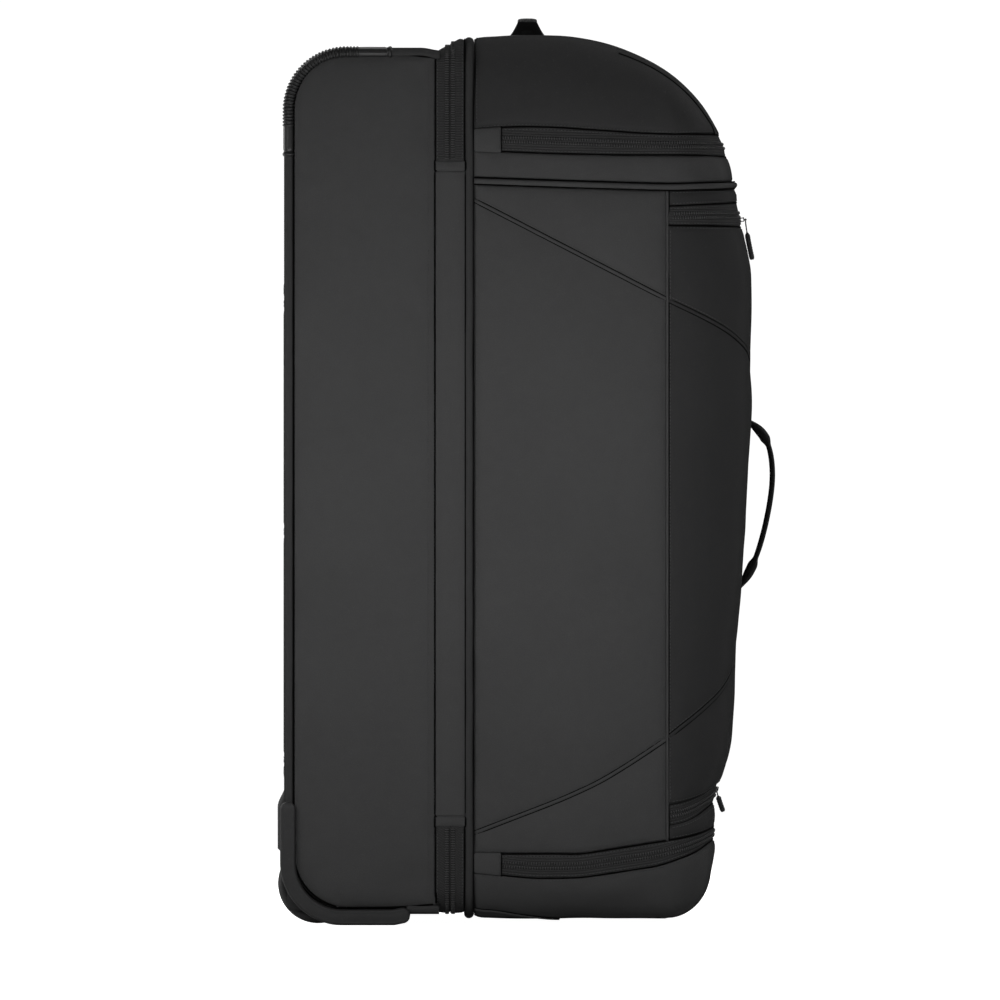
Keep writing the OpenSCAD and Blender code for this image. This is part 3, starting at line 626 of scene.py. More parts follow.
def carried(path, outward, profile, closed=False, scale=None):
    """Vertices, faces and UV of a closed profile of (side, out) points carried along a path.

    point = path + side (tangent x outward) + out outward, times scale where given; fans shut the ends."""
    path, profile = np.asarray(path, float), np.asarray(profile, float)
    ahead = np.roll(path, -1, 0) - np.roll(path, 1, 0) if closed else np.gradient(path, axis=0)
    tangent = unit(ahead)
    outward = np.broadcast_to(np.asarray(outward, float), path.shape)
    outward = unit(outward - (outward * tangent).sum(1)[:, None] * tangent)
    across = np.cross(tangent, outward)
    shape = profile[None] * (1.0 if scale is None else np.asarray(scale, float).reshape(len(path), 1, -1))
    grid = path[:, None] + shape[..., :1] * across[:, None] + shape[..., 1:] * outward[:, None]
    rows, cols = grid.shape[:2]
    around = lengths(profile[:, None], 0)[:, 0]
    uv = np.stack(np.broadcast_arrays(around[None, :], lengths(path[:, None], 0)[:, :1]), -1).reshape(-1, 2)
    verts, faces = grid.reshape(-1, 3), [grid_faces(rows, cols, wrap_rows=closed, wrap_cols=True)]
    if not closed:
        ring = np.arange(cols)
        after, last, start = (ring + 1) % cols, (rows - 1) * cols, rows * cols
        verts = np.concatenate([verts, grid[:1].mean(1), grid[-1:].mean(1)])
        uv = np.concatenate([uv, [[0, 0], [0, uv[-1, 1]]]])
        faces.append(np.stack([np.full(cols, start), ring, after], -1))
        faces.append(np.stack([np.full(cols, start + 1), last + after, last + ring], -1))
    return verts, faces, uv


def swept(name, path, outward, profile, material, body, closed=False, scale=None):
    """A piece made of a profile carried along a path."""
    verts, faces, uv = carried(path, outward, profile, closed, scale)
    return piece(name, verts, faces, material, body, uv, turn=True)


def pillow(width, height, power=2.6, count=20):
    """Profile |x/a|^p + |y/b|^p = 1, width by height."""
    a = np.linspace(0, 2 * np.pi, count, endpoint=False)
    c, s = np.cos(a), np.sin(a)
    return np.column_stack([width / 2 * np.sign(c) * np.abs(c) ** (2 / power),
                            height / 2 * np.sign(s) * np.abs(s) ** (2 / power)])


def cord(radius, count=14):
    """Round profile."""
    return pillow(2 * radius, 2 * radius, 2.0, count)


def round_ends(path, radius, least=0.12):
    """Scale along a path that rounds its two ends off like half discs of this radius."""
    run = lengths(np.asarray(path)[:, None], 0)[:, 0]
    edge = np.clip(np.minimum(run, run[-1] - run) / radius, 0, 1)
    return np.maximum(np.sqrt(1 - (1 - edge) ** 2), least)


def scatter(name, template, faces, centres, axes, material, body):
    """Copies of a small mesh: vertex = centre + template . (along, across, out)."""
    verts = np.asarray(centres)[:, None] + np.einsum("tk,nkd->ntd", template, axes)
    shift = (np.arange(len(centres)) * len(template))[:, None, None]
    quads = (np.asarray(faces)[None] + shift).reshape(-1, 4)
    return piece(name, verts, quads, material, body, turn=True)


def bead(length, radius, height, bow=0.0):
    """A small bar along x: three five-sided rings and pinched ends, bowed out in its middle."""
    at = np.array([-0.5, -0.3, 0.3, 0.5]) * length
    size = np.array([0.35, 1.0, 1.0, 0.35])
    a = np.linspace(0, 2 * np.pi, 5, endpoint=False)
    lift = bow * (1 - (2 * at / length) ** 2)
    ring = np.stack([np.broadcast_to(at[:, None], (4, 5)), size[:, None] * radius * np.cos(a),
                     lift[:, None] + size[:, None] * height * np.sin(a)], -1)
    caps = np.array([[0, 1, 2, 3], [0, 3, 4, 0], [15, 18, 17, 16], [15, 19, 18, 15]])
    return ring.reshape(-1, 3), np.concatenate([grid_faces(4, 5, wrap_cols=True), caps[[0, 2]]])


def axes_on(path, outward):
    """Along, across and out unit vectors at each point of a path."""
    along = unit(np.gradient(path, axis=0))
    out = unit(outward - (outward * along).sum(1)[:, None] * along)
    return np.stack([along, np.cross(out, along), out], 1)


thread_rows = {}
shade_line_parts = {}
SEWN = 0.05 * MM                     # how far a row of stitches stands off the cloth


def stitch(line, body, pitch=3.2 * MM):
    """Queues a row of stitches along a line of (points, outward vectors)."""
    if len(line[0]) > 3:
        thread_rows.setdefault(body, []).append(resample(np.column_stack(line), pitch))


def gap(line, body, width=1.1 * MM, height=0.5 * MM):
    """Queues a thin near-black cord of painted shade along a line of (points, outward vectors), where a
    turned edge meets the next piece.
    """
    if len(line[0]) > 3:
        joined = resample(np.column_stack(line), 4 * MM)
        part = carried(joined[:, :3], joined[:, 3:], pillow(width, height, 2.0, 8))
        shade_line_parts.setdefault(body, []).append(part)


def sew():
    """For each body one piece of thread, a bead for each queued stitch, and one piece of all its painted
    shade cords.
    """
    for body, parts in shade_line_parts.items():
        starts = np.cumsum([0] + [len(verts) for verts, _, _ in parts])
        quads = np.concatenate([part[1][0] + start for part, start in zip(parts, starts)])
        fans = np.concatenate([fan + start for part, start in zip(parts, starts) for fan in part[1][1:]])
        piece(f"painted_seam_shades_{body}", np.concatenate([part[0] for part in parts]), [quads, fans], SEAM_SHADE, body,
              np.concatenate([part[2] for part in parts]), turn=True)
    template, faces = bead(2.3 * MM, 0.40 * MM, 0.34 * MM, 0.2 * MM)
    for body, rows in thread_rows.items():
        centres = np.concatenate([r[:, :3] for r in rows])
        axes = np.concatenate([axes_on(r[:, :3], r[:, 3:]) for r in rows])
        for part, start in enumerate(range(0, len(centres), 4500)):
            scatter(f"thread_{body}_{part}", template, faces, centres[start:start + 4500],
                    axes[start:start + 4500], THREAD, body)


def coil(name, path, outward, body, half):
    """Zip coil: on each side of the centre line a row of bars across it."""
    pitch, lift = 2.35 * MM, 0.2 * MM
    line = resample(np.column_stack([path, outward]), pitch)
    axes = axes_on(line[:, :3], line[:, 3:])
    template, faces = bead(half - 0.7 * MM, 0.5 * MM, 0.75 * MM, 0.25 * MM)
    crosswise = axes[:, [1, 0, 2]] * np.array([1, -1, 1])[None, :, None]
    reach = (half + 0.7 * MM) / 2 * axes[:, 1]
    step = axes[:, 0] * pitch / 4
    centres = np.concatenate([line[:, :3] + reach + step, line[:, :3] - reach - step])
    centres = centres + lift * np.tile(axes[:, 2], (2, 1))
    scatter(name, template, faces, centres, np.tile(crosswise, (2, 1, 1)), COIL, body)


def seam(name, line, width, height, material, body, sides=(-1, 1)):
    """A narrow folded seam along a line of (points, outward vectors): a low strip, with painted shade cords
    along its sides.
    """
    joined = resample(np.column_stack(line), 4 * MM)
    out = unit(joined[:, 3:])
    across = np.cross(unit(np.gradient(joined[:, :3], axis=0)), out)
    for side in sides:
        beside = joined[:, :3] + side * (width / 2 + 0.3 * MM) * across + 0.25 * MM * out
        gap((beside, out), body, 1.0 * MM, 0.8 * MM)
    return swept(name, joined[:, :3] + out * height * 0.45, out, pillow(width, height, 2.2, 10), material,
                 body)


def at_depth(depth, y, z):
    """Stacked points for a depth in front of the back piping's line, y and z, all in millimetres."""
    depth, y, z = np.broadcast_arrays(np.asarray(depth, float), y, z)
    return np.stack([BACK + depth * MM, y * MM, z * MM], -1)


# ---------------------------------------------------------------- tray
def tray_edge(z, inset):
    """X of the tray's back outline at height z, inset inside the piping's outer line."""
    radius = TRAY_R - inset
    drop = np.maximum(TRAY_LOW + TRAY_R - z, z - (TRAY_TOP - TRAY_R))
    return BACK + TRAY_R - np.sqrt(np.maximum(radius ** 2 - np.clip(drop, 0, radius) ** 2, 0))


def tray_side(side):
    """Side panel: rows of constant height from the back outline to the band, crowned and puckered."""
    inset = 5.5 * MM
    z = spread(TRAY_LOW + inset, TRAY_TOP - inset, 230, 0.55)[:, None]
    u = spread(0, 1, 46, 0.5)[None]
    x0 = tray_edge(z, inset)
    x = x0 + (TRAY_X + 1.5 * MM - x0) * u
    y = np.full_like(x, side * (HALF_W - 0.4 * MM))
    sheet = Sheet(np.stack([x, y, z + 0 * u], -1))
    sheet.drape(4.2 * MM)
    sheet.relief(0.9 * MM, 2.6 * MM, 11 if side < 0 else 12, pucker=0.45 * MM, wander=1.1 * MM)
    name = "left" if side < 0 else "right"
    made = sheet.piece(f"tray_side_panel_{name}", PANEL, "tray", "panel_fabric", inside=LINING)
    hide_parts(f"tray_side_{name}")
    for offset in (1.6 * MM, 6.8 * MM):
        stitch(sheet.along(1, -offset - 1.5 * MM, SEWN, 12 * MM), "tray")
    stitch(sheet.along(1, 4.6 * MM, SEWN, 12 * MM), "tray")
    # painted shade along the panel's edges, where it meets the piping and the band
    for axis, offset in ((1, 3.5 * MM), (1, -1.2 * MM), (0, 3.5 * MM), (0, -3.5 * MM)):
        gap(sheet.along(axis, offset, 0.9 * MM, 4 * MM), "tray", 1.7 * MM, 1.0 * MM)


def tray_line(inset, end_x):
    """Tray outline in (x, z), from the front edge underneath, up the back, to the front edge on top."""
    r = TRAY_R - inset
    cx, low, high = BACK + TRAY_R, TRAY_LOW + TRAY_R, TRAY_TOP - TRAY_R
    return np.concatenate([[[end_x, TRAY_LOW + inset]], arc((cx, low), r, 270, 180, 40),
                           arc((cx, high), r, 180, 90, 40), [[end_x, TRAY_TOP - inset]]])


def tray_wrap():
    """Back, top and underside in one strip: outline x width, with the handle and wheel openings left out."""
    inset = 2.5 * MM
    line = tray_line(inset, TRAY_X + 1 * MM)
    run = lengths(line[:, None], 0)[:, 0]
    r = TRAY_R - inset
    flat = TRAY_X + 1 * MM - (BACK + TRAY_R)
    upright = TRAY_TOP - TRAY_LOW - 2 * TRAY_R
    u_back = flat + r * np.pi / 2
    u_top = u_back + upright
    cup_low = u_back + CUP_LO[2] - (TRAY_LOW + TRAY_R)
    cup_high = u_top + r * np.arccos(np.clip((BACK + TRAY_R - CUP_HI[0]) / r, -1, 1))
    wheel_x, wheel_z = (WHEEL_LO[0] + WHEEL_HI[0]) / 2, (WHEEL_LO[2] + WHEEL_HI[2]) / 2
    well = WELL_R + 3 * MM
    under = wheel_x + math.sqrt(well ** 2 - (wheel_z - TRAY_LOW - inset) ** 2)
    behind = wheel_z + math.sqrt(well ** 2 - (wheel_x - BACK - inset) ** 2)
    well_start = TRAY_X + 1 * MM - under
    well_end = u_back + behind - (TRAY_LOW + TRAY_R)
    u = stations(0, run[-1], 6 * MM, well_start, well_end, cup_low, cup_high)
    wide = PIPE_Y - 1 * MM
    wy0, wy1 = WHEEL_LO[1] - 5 * MM, wide
    y = stations(-wide, wide, 6 * MM, -wy1, -wy0, wy0, wy1, -CUP_HI[1], CUP_HI[1])
    points = np.stack([np.broadcast_to(np.interp(u, run, line[:, 0])[:, None], (len(u), len(y))),
                       np.broadcast_to(y[None], (len(u), len(y))),
                       np.broadcast_to(np.interp(u, run, line[:, 1])[:, None], (len(u), len(y)))], -1)
    sheet = Sheet(points)
    sheet.relief(1.6 * MM, 1.2 * MM, 21, wander=0.5 * MM)
    mu, my = (u[:-1] + u[1:]) / 2, np.abs((y[:-1] + y[1:]) / 2)
    hole = ((mu > cup_low) & (mu < cup_high))[:, None] & (my < CUP_HI[1])[None]
    hole |= ((mu > well_start) & (mu < well_end))[:, None] & ((my > wy0) & (my < wy1))[None]
    faces = grid_faces(len(u), len(y))[~hole.ravel()]
    if sheet.flip:
        faces = faces[:, ::-1]
    made = piece("tray_back_panel", sheet.points, faces, [PANEL, LINING], "tray",
                 np.stack([sheet.run0, sheet.run1], -1))
    solid = made.modifiers.new("thickness", "SOLIDIFY")
    solid.thickness = 2.4 * MM
    solid.offset = -1
    solid.material_offset = 1
    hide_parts("tray_wrap")
    for side in (5 * MM, -5 * MM):
        stitch(sheet.along(1, side, SEWN, 160 * MM), "tray")


def edge_line(side, low, end_x, step=2 * MM):
    """Centre line of the tray's piping on one side, from height low on the back to end_x on top."""
    line = np.concatenate([[[BACK + PIPE_R, low]],
                           arc((BACK + TRAY_R, TRAY_TOP - TRAY_R), TRAY_R - PIPE_R, 180, 90, 50),
                           [[end_x, TRAY_TOP - PIPE_R]]])
    return resample(np.column_stack([line[:, 0], np.full(len(line), side * PIPE_Y), line[:, 1]]), step)


def piping_and_guard(side):
    """Corded piping along the tray's edge, under a ribbed corner sleeve with a smooth collar at each end."""
    name = "left" if side < 0 else "right"
    path = edge_line(side, TRAY_LOW + 100 * MM, TRAY_X + 4 * MM)
    path[:, 2] -= 2.5 * MM * smooth((path[:, 0] - TRAY_X + 14 * MM) / (18 * MM))
    path[:, 1] += 0.3 * MM * ripples(path, 60 * MM, 31)
    out = np.array([0.0, side, 0.0])
    made = swept(f"tray_edge_piping_{name}", path, out, cord(PIPE_R), TRIM, "tray")
    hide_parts(f"tray_piping_{name}")
    foot = np.stack([np.linspace(BACK + 112 * MM, TRAY_X + 3 * MM, 12), np.full(12, side * PIPE_Y),
                     np.full(12, TRAY_LOW + PIPE_R)], -1)
    swept(f"tray_foot_piping_{name}", foot, out, cord(PIPE_R), TRIM, "tray")

    path = edge_line(side, 703 * MM, BACK + 99.5 * MM, 0.55 * MM)
    run = lengths(path[:, None], 0)[:, 0]
    edge = np.minimum(run / (27 * MM), (run[-1] - run) / (30 * MM))
    ribbed = smooth((edge - 0.98) * 12)
    radius = 5.2 * MM + ribbed * (1.7 * MM * np.abs(np.sin(np.pi * run / (3.05 * MM))) ** 0.7 - 1.0 * MM)
    ends = np.minimum(run, run[-1] - run)
    radius += 0.75 * MM * np.exp(-((ends - 2.2 * MM) / (1.5 * MM)) ** 2)
    radius -= 0.5 * MM * np.exp(-((ends - 5.2 * MM) / (1.2 * MM)) ** 2)
    radius -= 1.3 * MM * np.exp(-ends / (0.6 * MM))
    made = swept(f"corner_sleeve_{name}", path, out, cord(1.0, 18), GUARD, "tray",
                 scale=radius[:, None])
    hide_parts(f"corner_guard_{name}")


def wheel_housing(side):
    """Rounded bumper round the lower back corner, a flange on the back and a cup behind the wheel."""
    name = "left" if side < 0 else "right"
    r, back, t = TRAY_R, BACK - 3.5 * MM, 7.2 * MM
    line = np.concatenate([[[back + t, 113 * MM]], arc((back + r, r), r - t, 180, 270, 40),
                           [[BACK + 100 * MM, t], [BACK + 115.5 * MM, t + 3.2 * MM]]])
    line = np.column_stack([line[:, 0], np.full(len(line), side * 191.6 * MM), line[:, 1]])
    path = resample(line, 1.6 * MM)
    a = np.linspace(0, 2 * np.pi, 36, endpoint=False)
    c, s = np.cos(a), np.sin(a)
    profile = np.column_stack([7.3 * MM * np.sign(c) * np.abs(c) ** 0.5,
                               8.4 * MM * np.sign(s) * np.abs(s) ** 0.55])
    raised = (profile[:, 1] > 4 * MM) & (np.abs(profile[:, 0]) < 4.6 * MM)
    profile[raised, 1] -= 0.7 * MM
    ends = round_ends(path, 7.2 * MM, 0.1)
    scale = np.column_stack([ends, 0.55 + 0.45 * ends])
    made = swept(f"corner_bumper_{name}", path, (0, side, 0), profile, BUMPER, "tray",
                 scale=scale)

    y0, y1 = side * 146 * MM, side * 182.5 * MM
    z = np.linspace(64, 130, 24)[:, None] * MM
    y = np.linspace(y0, y1, 20)[None]
    plump = smooth((z - 64 * MM) / (5 * MM)) * (1 - smooth((z - 108 * MM) / (22 * MM)))
    cross = 1 - np.abs((2 * y - y0 - y1) / (y1 - y0)) ** 6
    x = BACK + 1.5 * MM - 7.6 * MM * plump * cross
    flange = Sheet(np.stack(np.broadcast_arrays(x, y, z), -1))
    flange.piece(f"wheel_flange_{name}", BUMPER, "tray", "bumper_plastic", 1.6 * MM)

    cx, cz = (WHEEL_LO[0] + WHEEL_HI[0]) / 2, (WHEEL_LO[2] + WHEEL_HI[2]) / 2
    angle = np.radians(np.linspace(-38, 133, 60))[:, None]
    y = np.linspace(y0, side * 184 * MM, 10)[None]
    cup = Sheet(np.stack(np.broadcast_arrays(cx + (WELL_R + 0.4 * MM) * np.cos(angle), y,
                                             cz + (WELL_R + 0.4 * MM) * np.sin(angle)), -1),
                away=(cx, side * 165 * MM, cz))
    cup.piece(f"wheel_cup_{name}", BUMPER, "tray", "bumper_plastic", -2.2 * MM)
    for wall, wall_y in (("inner", 146.5), ("outer", 183.4)):
        turn = np.radians(np.linspace(0, 360, 73))[:, None]
        to_back = np.where(np.cos(turn) < -1e-3, (cx - BACK - 3 * MM) / np.maximum(-np.cos(turn), 1e-3), 1.0)
        to_foot = np.where(np.sin(turn) < -1e-3, (cz - TRAY_LOW - 3.2 * MM) / np.maximum(-np.sin(turn), 1e-3),
                           1.0)
        reach = np.minimum(np.minimum(to_back, to_foot), WELL_R + 2 * MM)
        radius = 4.1 * MM + (reach - 4.1 * MM) * np.linspace(0, 1, 8)[None]
        disc = np.stack(np.broadcast_arrays(cx + radius * np.cos(turn), side * wall_y * MM,
                                            cz + radius * np.sin(turn)), -1)
        plate = Sheet(disc, away=(cx, side * (300 if wall == "inner" else 0) * MM, cz))
        plate.piece(f"wheel_cup_{wall}_wall_{name}", BUMPER, "tray", "bumper_plastic", 2 * MM)
    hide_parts(f"wheel_housing_{name}")


def revolve(name, outline, centre, material, body, count=72, wave=None):
    """(radius, y) outline turned about an axis along Y; wave gives a change of radius for angle and y."""
    outline = np.asarray(outline, float) * MM
    a = np.linspace(0, 2 * np.pi, count, endpoint=False)[:, None]
    radius = outline[None, :, 0] + (0 if wave is None else wave(a, outline[None, :, 1], outline[None, :, 0]))
    points = np.stack(np.broadcast_arrays(centre[0] + radius * np.cos(a), centre[1] + outline[None, :, 1],
                                          centre[2] + radius * np.sin(a)), -1)
    faces = grid_faces(count, len(outline), wrap_rows=True, wrap_cols=True)
    return piece(name, points, faces, material, body, turn=True)


def wheel(side):
    """Soft tyre with shallow cross grooves on a spoked hub with a domed cap."""
    name = "left" if side < 0 else "right"
    low, high = corners(f"wheel_tyre_{name}")
    centre = (low + high) / 2
    half = np.array([[27, -10.5], [29.5, -12.6], [31.5, -13.6], [33.5, -13.2], [35.2, -10.5], [36.3, -6.4],
                     [36.9, -2.2]])
    section = np.concatenate([half, half[::-1] * [1, -1], [[26.4, 0]]])

    def grooves(a, y, radius):
        cut = np.exp(-(np.sin(18 * a + np.sign(y) * 0.25) / 0.16) ** 2)
        return -0.9 * MM * cut * (np.abs(y) > 5 * MM) * (radius > 33 * MM)

    made = revolve(f"tyre_{name}", section, centre, TYRE, f"wheel_{name}", 216, grooves)
    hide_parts(f"wheel_tyre_{name}")
    cap = [[0.01, 13.0], [6, 13.0], [7.4, 12.4], [7.6, 11.5], [4.3, 11.5], [0.01, 11.6]]
    revolve(f"hub_cap_{name}", [[r, y * side] for r, y in cap], centre, HUB, f"wheel_{name}",
            32)


def back_hardware():
    """Skid rails as rounded bars, and the smooth grip over its two tubes."""
    rail_lo, rail_hi = corners("skid_rails")
    made = None
    for side, name in ((-1, "left"), (1, "right")):
        y = side * (rail_hi[1] - 6 * MM)
        z = stations(rail_lo[2] + 0.5 * MM, rail_hi[2] - 0.5 * MM, 5 * MM)
        z = np.concatenate([np.linspace(z[0], z[0] + 6 * MM, 8)[:-1],
                            z[(z > z[0] + 6 * MM) & (z < z[-1] - 6 * MM)],
                            np.linspace(z[-1] - 6 * MM, z[-1], 8)])
        path = np.stack([np.full_like(z, rail_lo[0] + 2.3 * MM), np.full_like(z, y), z], -1)
        ends = round_ends(path, 6 * MM, 0.1)
        sunk = np.zeros(len(z))
        for height in (150 * MM, 360 * MM, 570 * MM):
            sunk += np.exp(-((z - height) / (5.5 * MM)) ** 4)
        scale = np.column_stack([ends, (0.6 + 0.4 * ends) * (1 - 0.62 * np.clip(sunk, 0, 1))])
        made = swept(f"skid_rail_{name}", path, (-1, 0, 0), pillow(12 * MM, 4.4 * MM, 3.0, 20), BOARD,
                     "tray", scale=scale)
        if side < 0:
            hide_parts("skid_rails")
    lo, hi = corners("grip")
    mid_x, bar = (lo[0] + hi[0]) / 2, hi[2] - 8.5 * MM
    y = np.linspace(lo[1] + 0.3 * MM, hi[1] - 0.3 * MM, 120)
    path = np.stack([np.full_like(y, mid_x), y, np.full_like(y, bar)], -1)
    waist = 1 - 0.06 * np.cos(2 * np.pi * y / (26 * MM)) ** 2 * (np.abs(y) < 48 * MM)
    made = swept("grip_bar", path, (0, 0, 1), pillow(23.6 * MM, 16.6 * MM, 2.7, 32), GRIP, "handle_inner",
                 scale=round_ends(path, 9 * MM, 0.1) * waist)
    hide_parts("grip")
    for side, name in ((-1, "left"), (1, "right")):
        z = np.linspace(lo[2], bar, 14)
        path = np.stack([np.full_like(z, mid_x), np.full_like(z, side * 60 * MM), z], -1)
        wide = 1 + 0.35 * smooth((z - bar + 14 * MM) / (14 * MM))
        eased = 1 - 0.08 * np.exp(-(z - z[0]) / (0.8 * MM))
        swept(f"grip_leg_{name}", path, (-1, 0, 0), pillow(22.6 * MM, 20 * MM, 2.4, 28), GRIP, "handle_inner",
              scale=np.column_stack([wide, np.ones_like(z)]) * eased[:, None])


def shroud():
    """Fabric cover over the handle's tubes, on the inside of the tray: a U-shaped sheet with soft corners."""
    lo, hi = SHROUD_LO, SHROUD_HI
    wide, x0, x1 = hi[1] - 1 * MM, lo[0] + 0.3 * MM, hi[0] - 0.5 * MM
    r = 9 * MM
    line = np.concatenate([[[x0, -wide]], arc((x1 - r, -wide + r), r, -90, 0, 10),
                           arc((x1 - r, wide - r), r, 0, 90, 10), [[x0, wide]]])
    line = resample(np.column_stack([line, np.zeros(len(line))]), 5 * MM)
    z = spread(lo[2] + 0.5 * MM, hi[2] - 0.5 * MM, 110, 0.3)
    points = np.stack(np.broadcast_arrays(line[None, :, 0], line[None, :, 1], z[:, None]), -1)
    sheet = Sheet(points, away=(x0 - 20 * MM, 0, 0.4))
    sheet.relief(0.5 * MM, 0.6 * MM, 41, wander=0.4 * MM)
    made = sheet.piece("tube_cover", LINING, "tray", "lining", 1.2 * MM)
    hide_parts("tube_shroud")
    for offset in (4 * MM, -4 * MM):
        stitch(sheet.along(1, offset, SEWN, 6 * MM), "tray")


# ---------------------------------------------------------------- band between the compartments
def band_ring(inset, start, end):
    """(y, z) round the band, from height start on the left, over the top, to height end on the left."""
    w, low, high, r = BAND_Y - inset, BAND_LOW + inset, BAND_TOP - inset, BAND_R - inset
    line = np.concatenate([[[-w, start]], arc((r - w, high - r), r, 180, 90, 16),
                           arc((w - r, high - r), r, 90, 0, 16), arc((w - r, low + r), r, 0, -90, 16),
                           arc((r - w, low + r), r, -90, -180, 16), [[-w, end]]])
    return resample(np.column_stack([line, np.zeros(len(line))]), 4 * MM)[:, :2]


def frame_loop(x, w, low, high, r, count, step):
    """Closed rounded rectangle at x, from -w to w across and from low to high, stations about step apart."""
    line = np.concatenate([arc((w - r, high - r), r, 90, 0, count), arc((w - r, low + r), r, 0, -90, count),
                           arc((r - w, low + r), r, -90, -180, count),
                           arc((r - w, high - r), r, 180, 90, count)])
    line = np.vstack([line, line[:1]])
    return resample(np.column_stack([np.full(len(line), x), line]), step)[:-1]


def band_drop(x, z):
    """How far the band's top edge falls towards the tray."""
    down = 11.0 * MM * (1 - np.clip((x - TRAY_X) / (MOUTH_X - 4 * MM - TRAY_X), 0, 1) ** 1.15)
    return down * smooth((z - (BAND_TOP - BAND_R)) / BAND_R)


def zip_band(name, node, x0, x1, body, towards):
    """Half of the band: tape round the opening, dipping where it is sewn to the bag."""
    ring = band_ring(0, HINGE_TOP, HINGE_LOW)
    x = spread(x0, x1, 15, 0.4)
    points = np.stack(np.broadcast_arrays(x[None], ring[:, :1], ring[:, 1:2]), -1).copy()
    points[..., 2] -= band_drop(points[..., 0], points[..., 2])
    sheet = Sheet(points)
    u = (x - x0) / (x1 - x0)
    u = u if towards > 0 else 1 - u
    dip = -1.6 * MM * np.exp(-u * 5)
    if towards > 0:
        dip = dip - 2.3 * MM * smooth((x - COIL_X + 0.5 * MM) / (1.2 * MM))
    sheet.push(dip[None] + 0.25 * MM * ripples(points, 35 * MM, 51) * smooth(u * 3) * smooth((1 - u) * 3))
    made = sheet.piece(name, TAPE, body, "zip_tape", 1.2 * MM)
    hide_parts(node)
    near = 1 if towards > 0 else -1
    stitch(sheet.along(1, near * 2.6 * MM, -0.1 * MM, 4 * MM), body)
    # painted shade where the tape meets the bag
    gap(sheet.along(1, near * 0.5 * MM, 1.0 * MM), body, 1.3 * MM, 0.8 * MM)
    return sheet


def band_coils():
    """The main zip's coil, half of each bar row on each compartment, parted along the coil's line."""
    ring = band_ring(-0.2 * MM, HINGE_TOP + 3 * MM, HINGE_LOW - 3 * MM)
    for x, body, side in ((COIL_X - 2.9 * MM, "tray", -1), (COIL_X + 2.9 * MM, "front", 1)):
        path = np.column_stack([np.full(len(ring), x), ring])
        path[:, 2] -= band_drop(path[:, 0], path[:, 2])
        out = np.column_stack([np.zeros(len(ring)), ring[:, 0] / BAND_Y, (ring[:, 1] - 0.41) / 0.40])
        out[:, 1:] = np.sign(out[:, 1:]) * np.abs(out[:, 1:]) ** 12
        line = resample(np.column_stack([path, unit(out)]), 2.15 * MM)
        axes = axes_on(line[:, :3], line[:, 3:])
        template, faces = bead(3.9 * MM, 0.48 * MM, 0.75 * MM, 0.25 * MM)
        crosswise = axes[:, [1, 0, 2]] * np.array([1, -1, 1])[None, :, None]
        scatter(f"main_coil_{body}", template, faces, line[:, :3] + side * 0.15 * MM * axes[:, 1], crosswise,
                COIL, body)


def hinge():
    """Fabric hinge on the left: one strip across the gap, hemmed at both ends."""
    x = spread(TRAY_X - 1 * MM, MOUTH_X + 1.5 * MM, 25, 0.3)
    low, high, hem = HINGE_LOW - 1 * MM, HINGE_TOP + 1 * MM, 13 * MM
    z = np.concatenate([stations(low, low + hem, 0.5 * MM)[:-1], stations(low + hem, high - hem, 3.6 * MM),
                        stations(high - hem, high, 0.5 * MM)[1:]])
    points = np.stack(np.broadcast_arrays(x[None], -BAND_Y + 0.3 * MM, z[:, None]), -1)
    sheet = Sheet(points)
    sheet.relief(1.5 * MM, 1.6 * MM, 61, reach=9 * MM, wander=0.45 * MM, pucker=0.2 * MM)
    sheet.push(1.3 * MM * np.exp(-((sheet.edge0 - 4.6 * MM) / (4.2 * MM)) ** 12))
    sheet.push(-1.2 * MM * np.exp(-((sheet.edge0 - 9.6 * MM) / (0.8 * MM)) ** 2))
    # painted shade at both hemmed ends of the strip
    gap(sheet.along(1, 0.1 * MM, 0.7 * MM), "tray", 1.6 * MM, 1.2 * MM)
    gap(sheet.along(1, -0.1 * MM, 0.7 * MM), "front", 1.6 * MM, 1.2 * MM)
    made = sheet.piece("hinge_strip", PANEL, None, "panel_fabric", 1.8 * MM, LINING)
    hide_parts("hinge_panel_tray", "hinge_panel_front")
    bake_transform(made)
    return sheet


def mouth_piping():
    """Thick piping round the front compartment's mouth."""
    r = (TUB_X - MOUTH_X) / 2
    path = frame_loop(MOUTH_X + r, BAND_Y + 0.5 * MM - r, CASE_LOW - 1 * MM + r, CASE_TOP - r, BAND_R, 16,
                      4 * MM)
    path += 0.25 * MM * ripples(path, 70 * MM, 71)[:, None] * np.array([1, 0, 0])
    made = swept("mouth_edge_piping", path, (1, 0, 0), cord(r, 16), TRIM, "front", closed=True)
    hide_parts("mouth_piping")


# ---------------------------------------------------------------- front compartment
S_SIDE = SEAM_X - TUB_X
S_TURN = PLAN_R * np.pi / 2
S_FACE = 2 * (HALF_W - PLAN_R)
S_ALL = 2 * (S_SIDE + S_TURN) + S_FACE
S_MID = S_ALL / 2
DOME_R = 172 * MM
DOME_X = FRONT_X - 176.4 * MM
DOME_Z = CASE_TOP - DOME_R

setback = soft_line([[60, 33.2], [78, 31.6], [87, 30.0], [98, 32.2], [107, 31.6], [114, 28.8], [130, 26.0],
                     [147, 21.6], [165, 19.2], [260, 13.2], [370, 6.2], [470, 0.9], [500, 0.2], [600, 0.2],
                     [650, 6.9], [668, 10.4], [682, 14.2], [700, 18.5], [712, 20.9], [727.4, 27.4]], 4 * MM)


def front_x(z):
    """X of the front panel's middle at height z."""
    return FRONT_X - setback(z)


def fold_back(s):
    """Distance from the nearer back edge, and which half of the girth a station is in."""
    return np.minimum(s, S_ALL - s), np.where(s > S_MID, 1.0, -1.0)


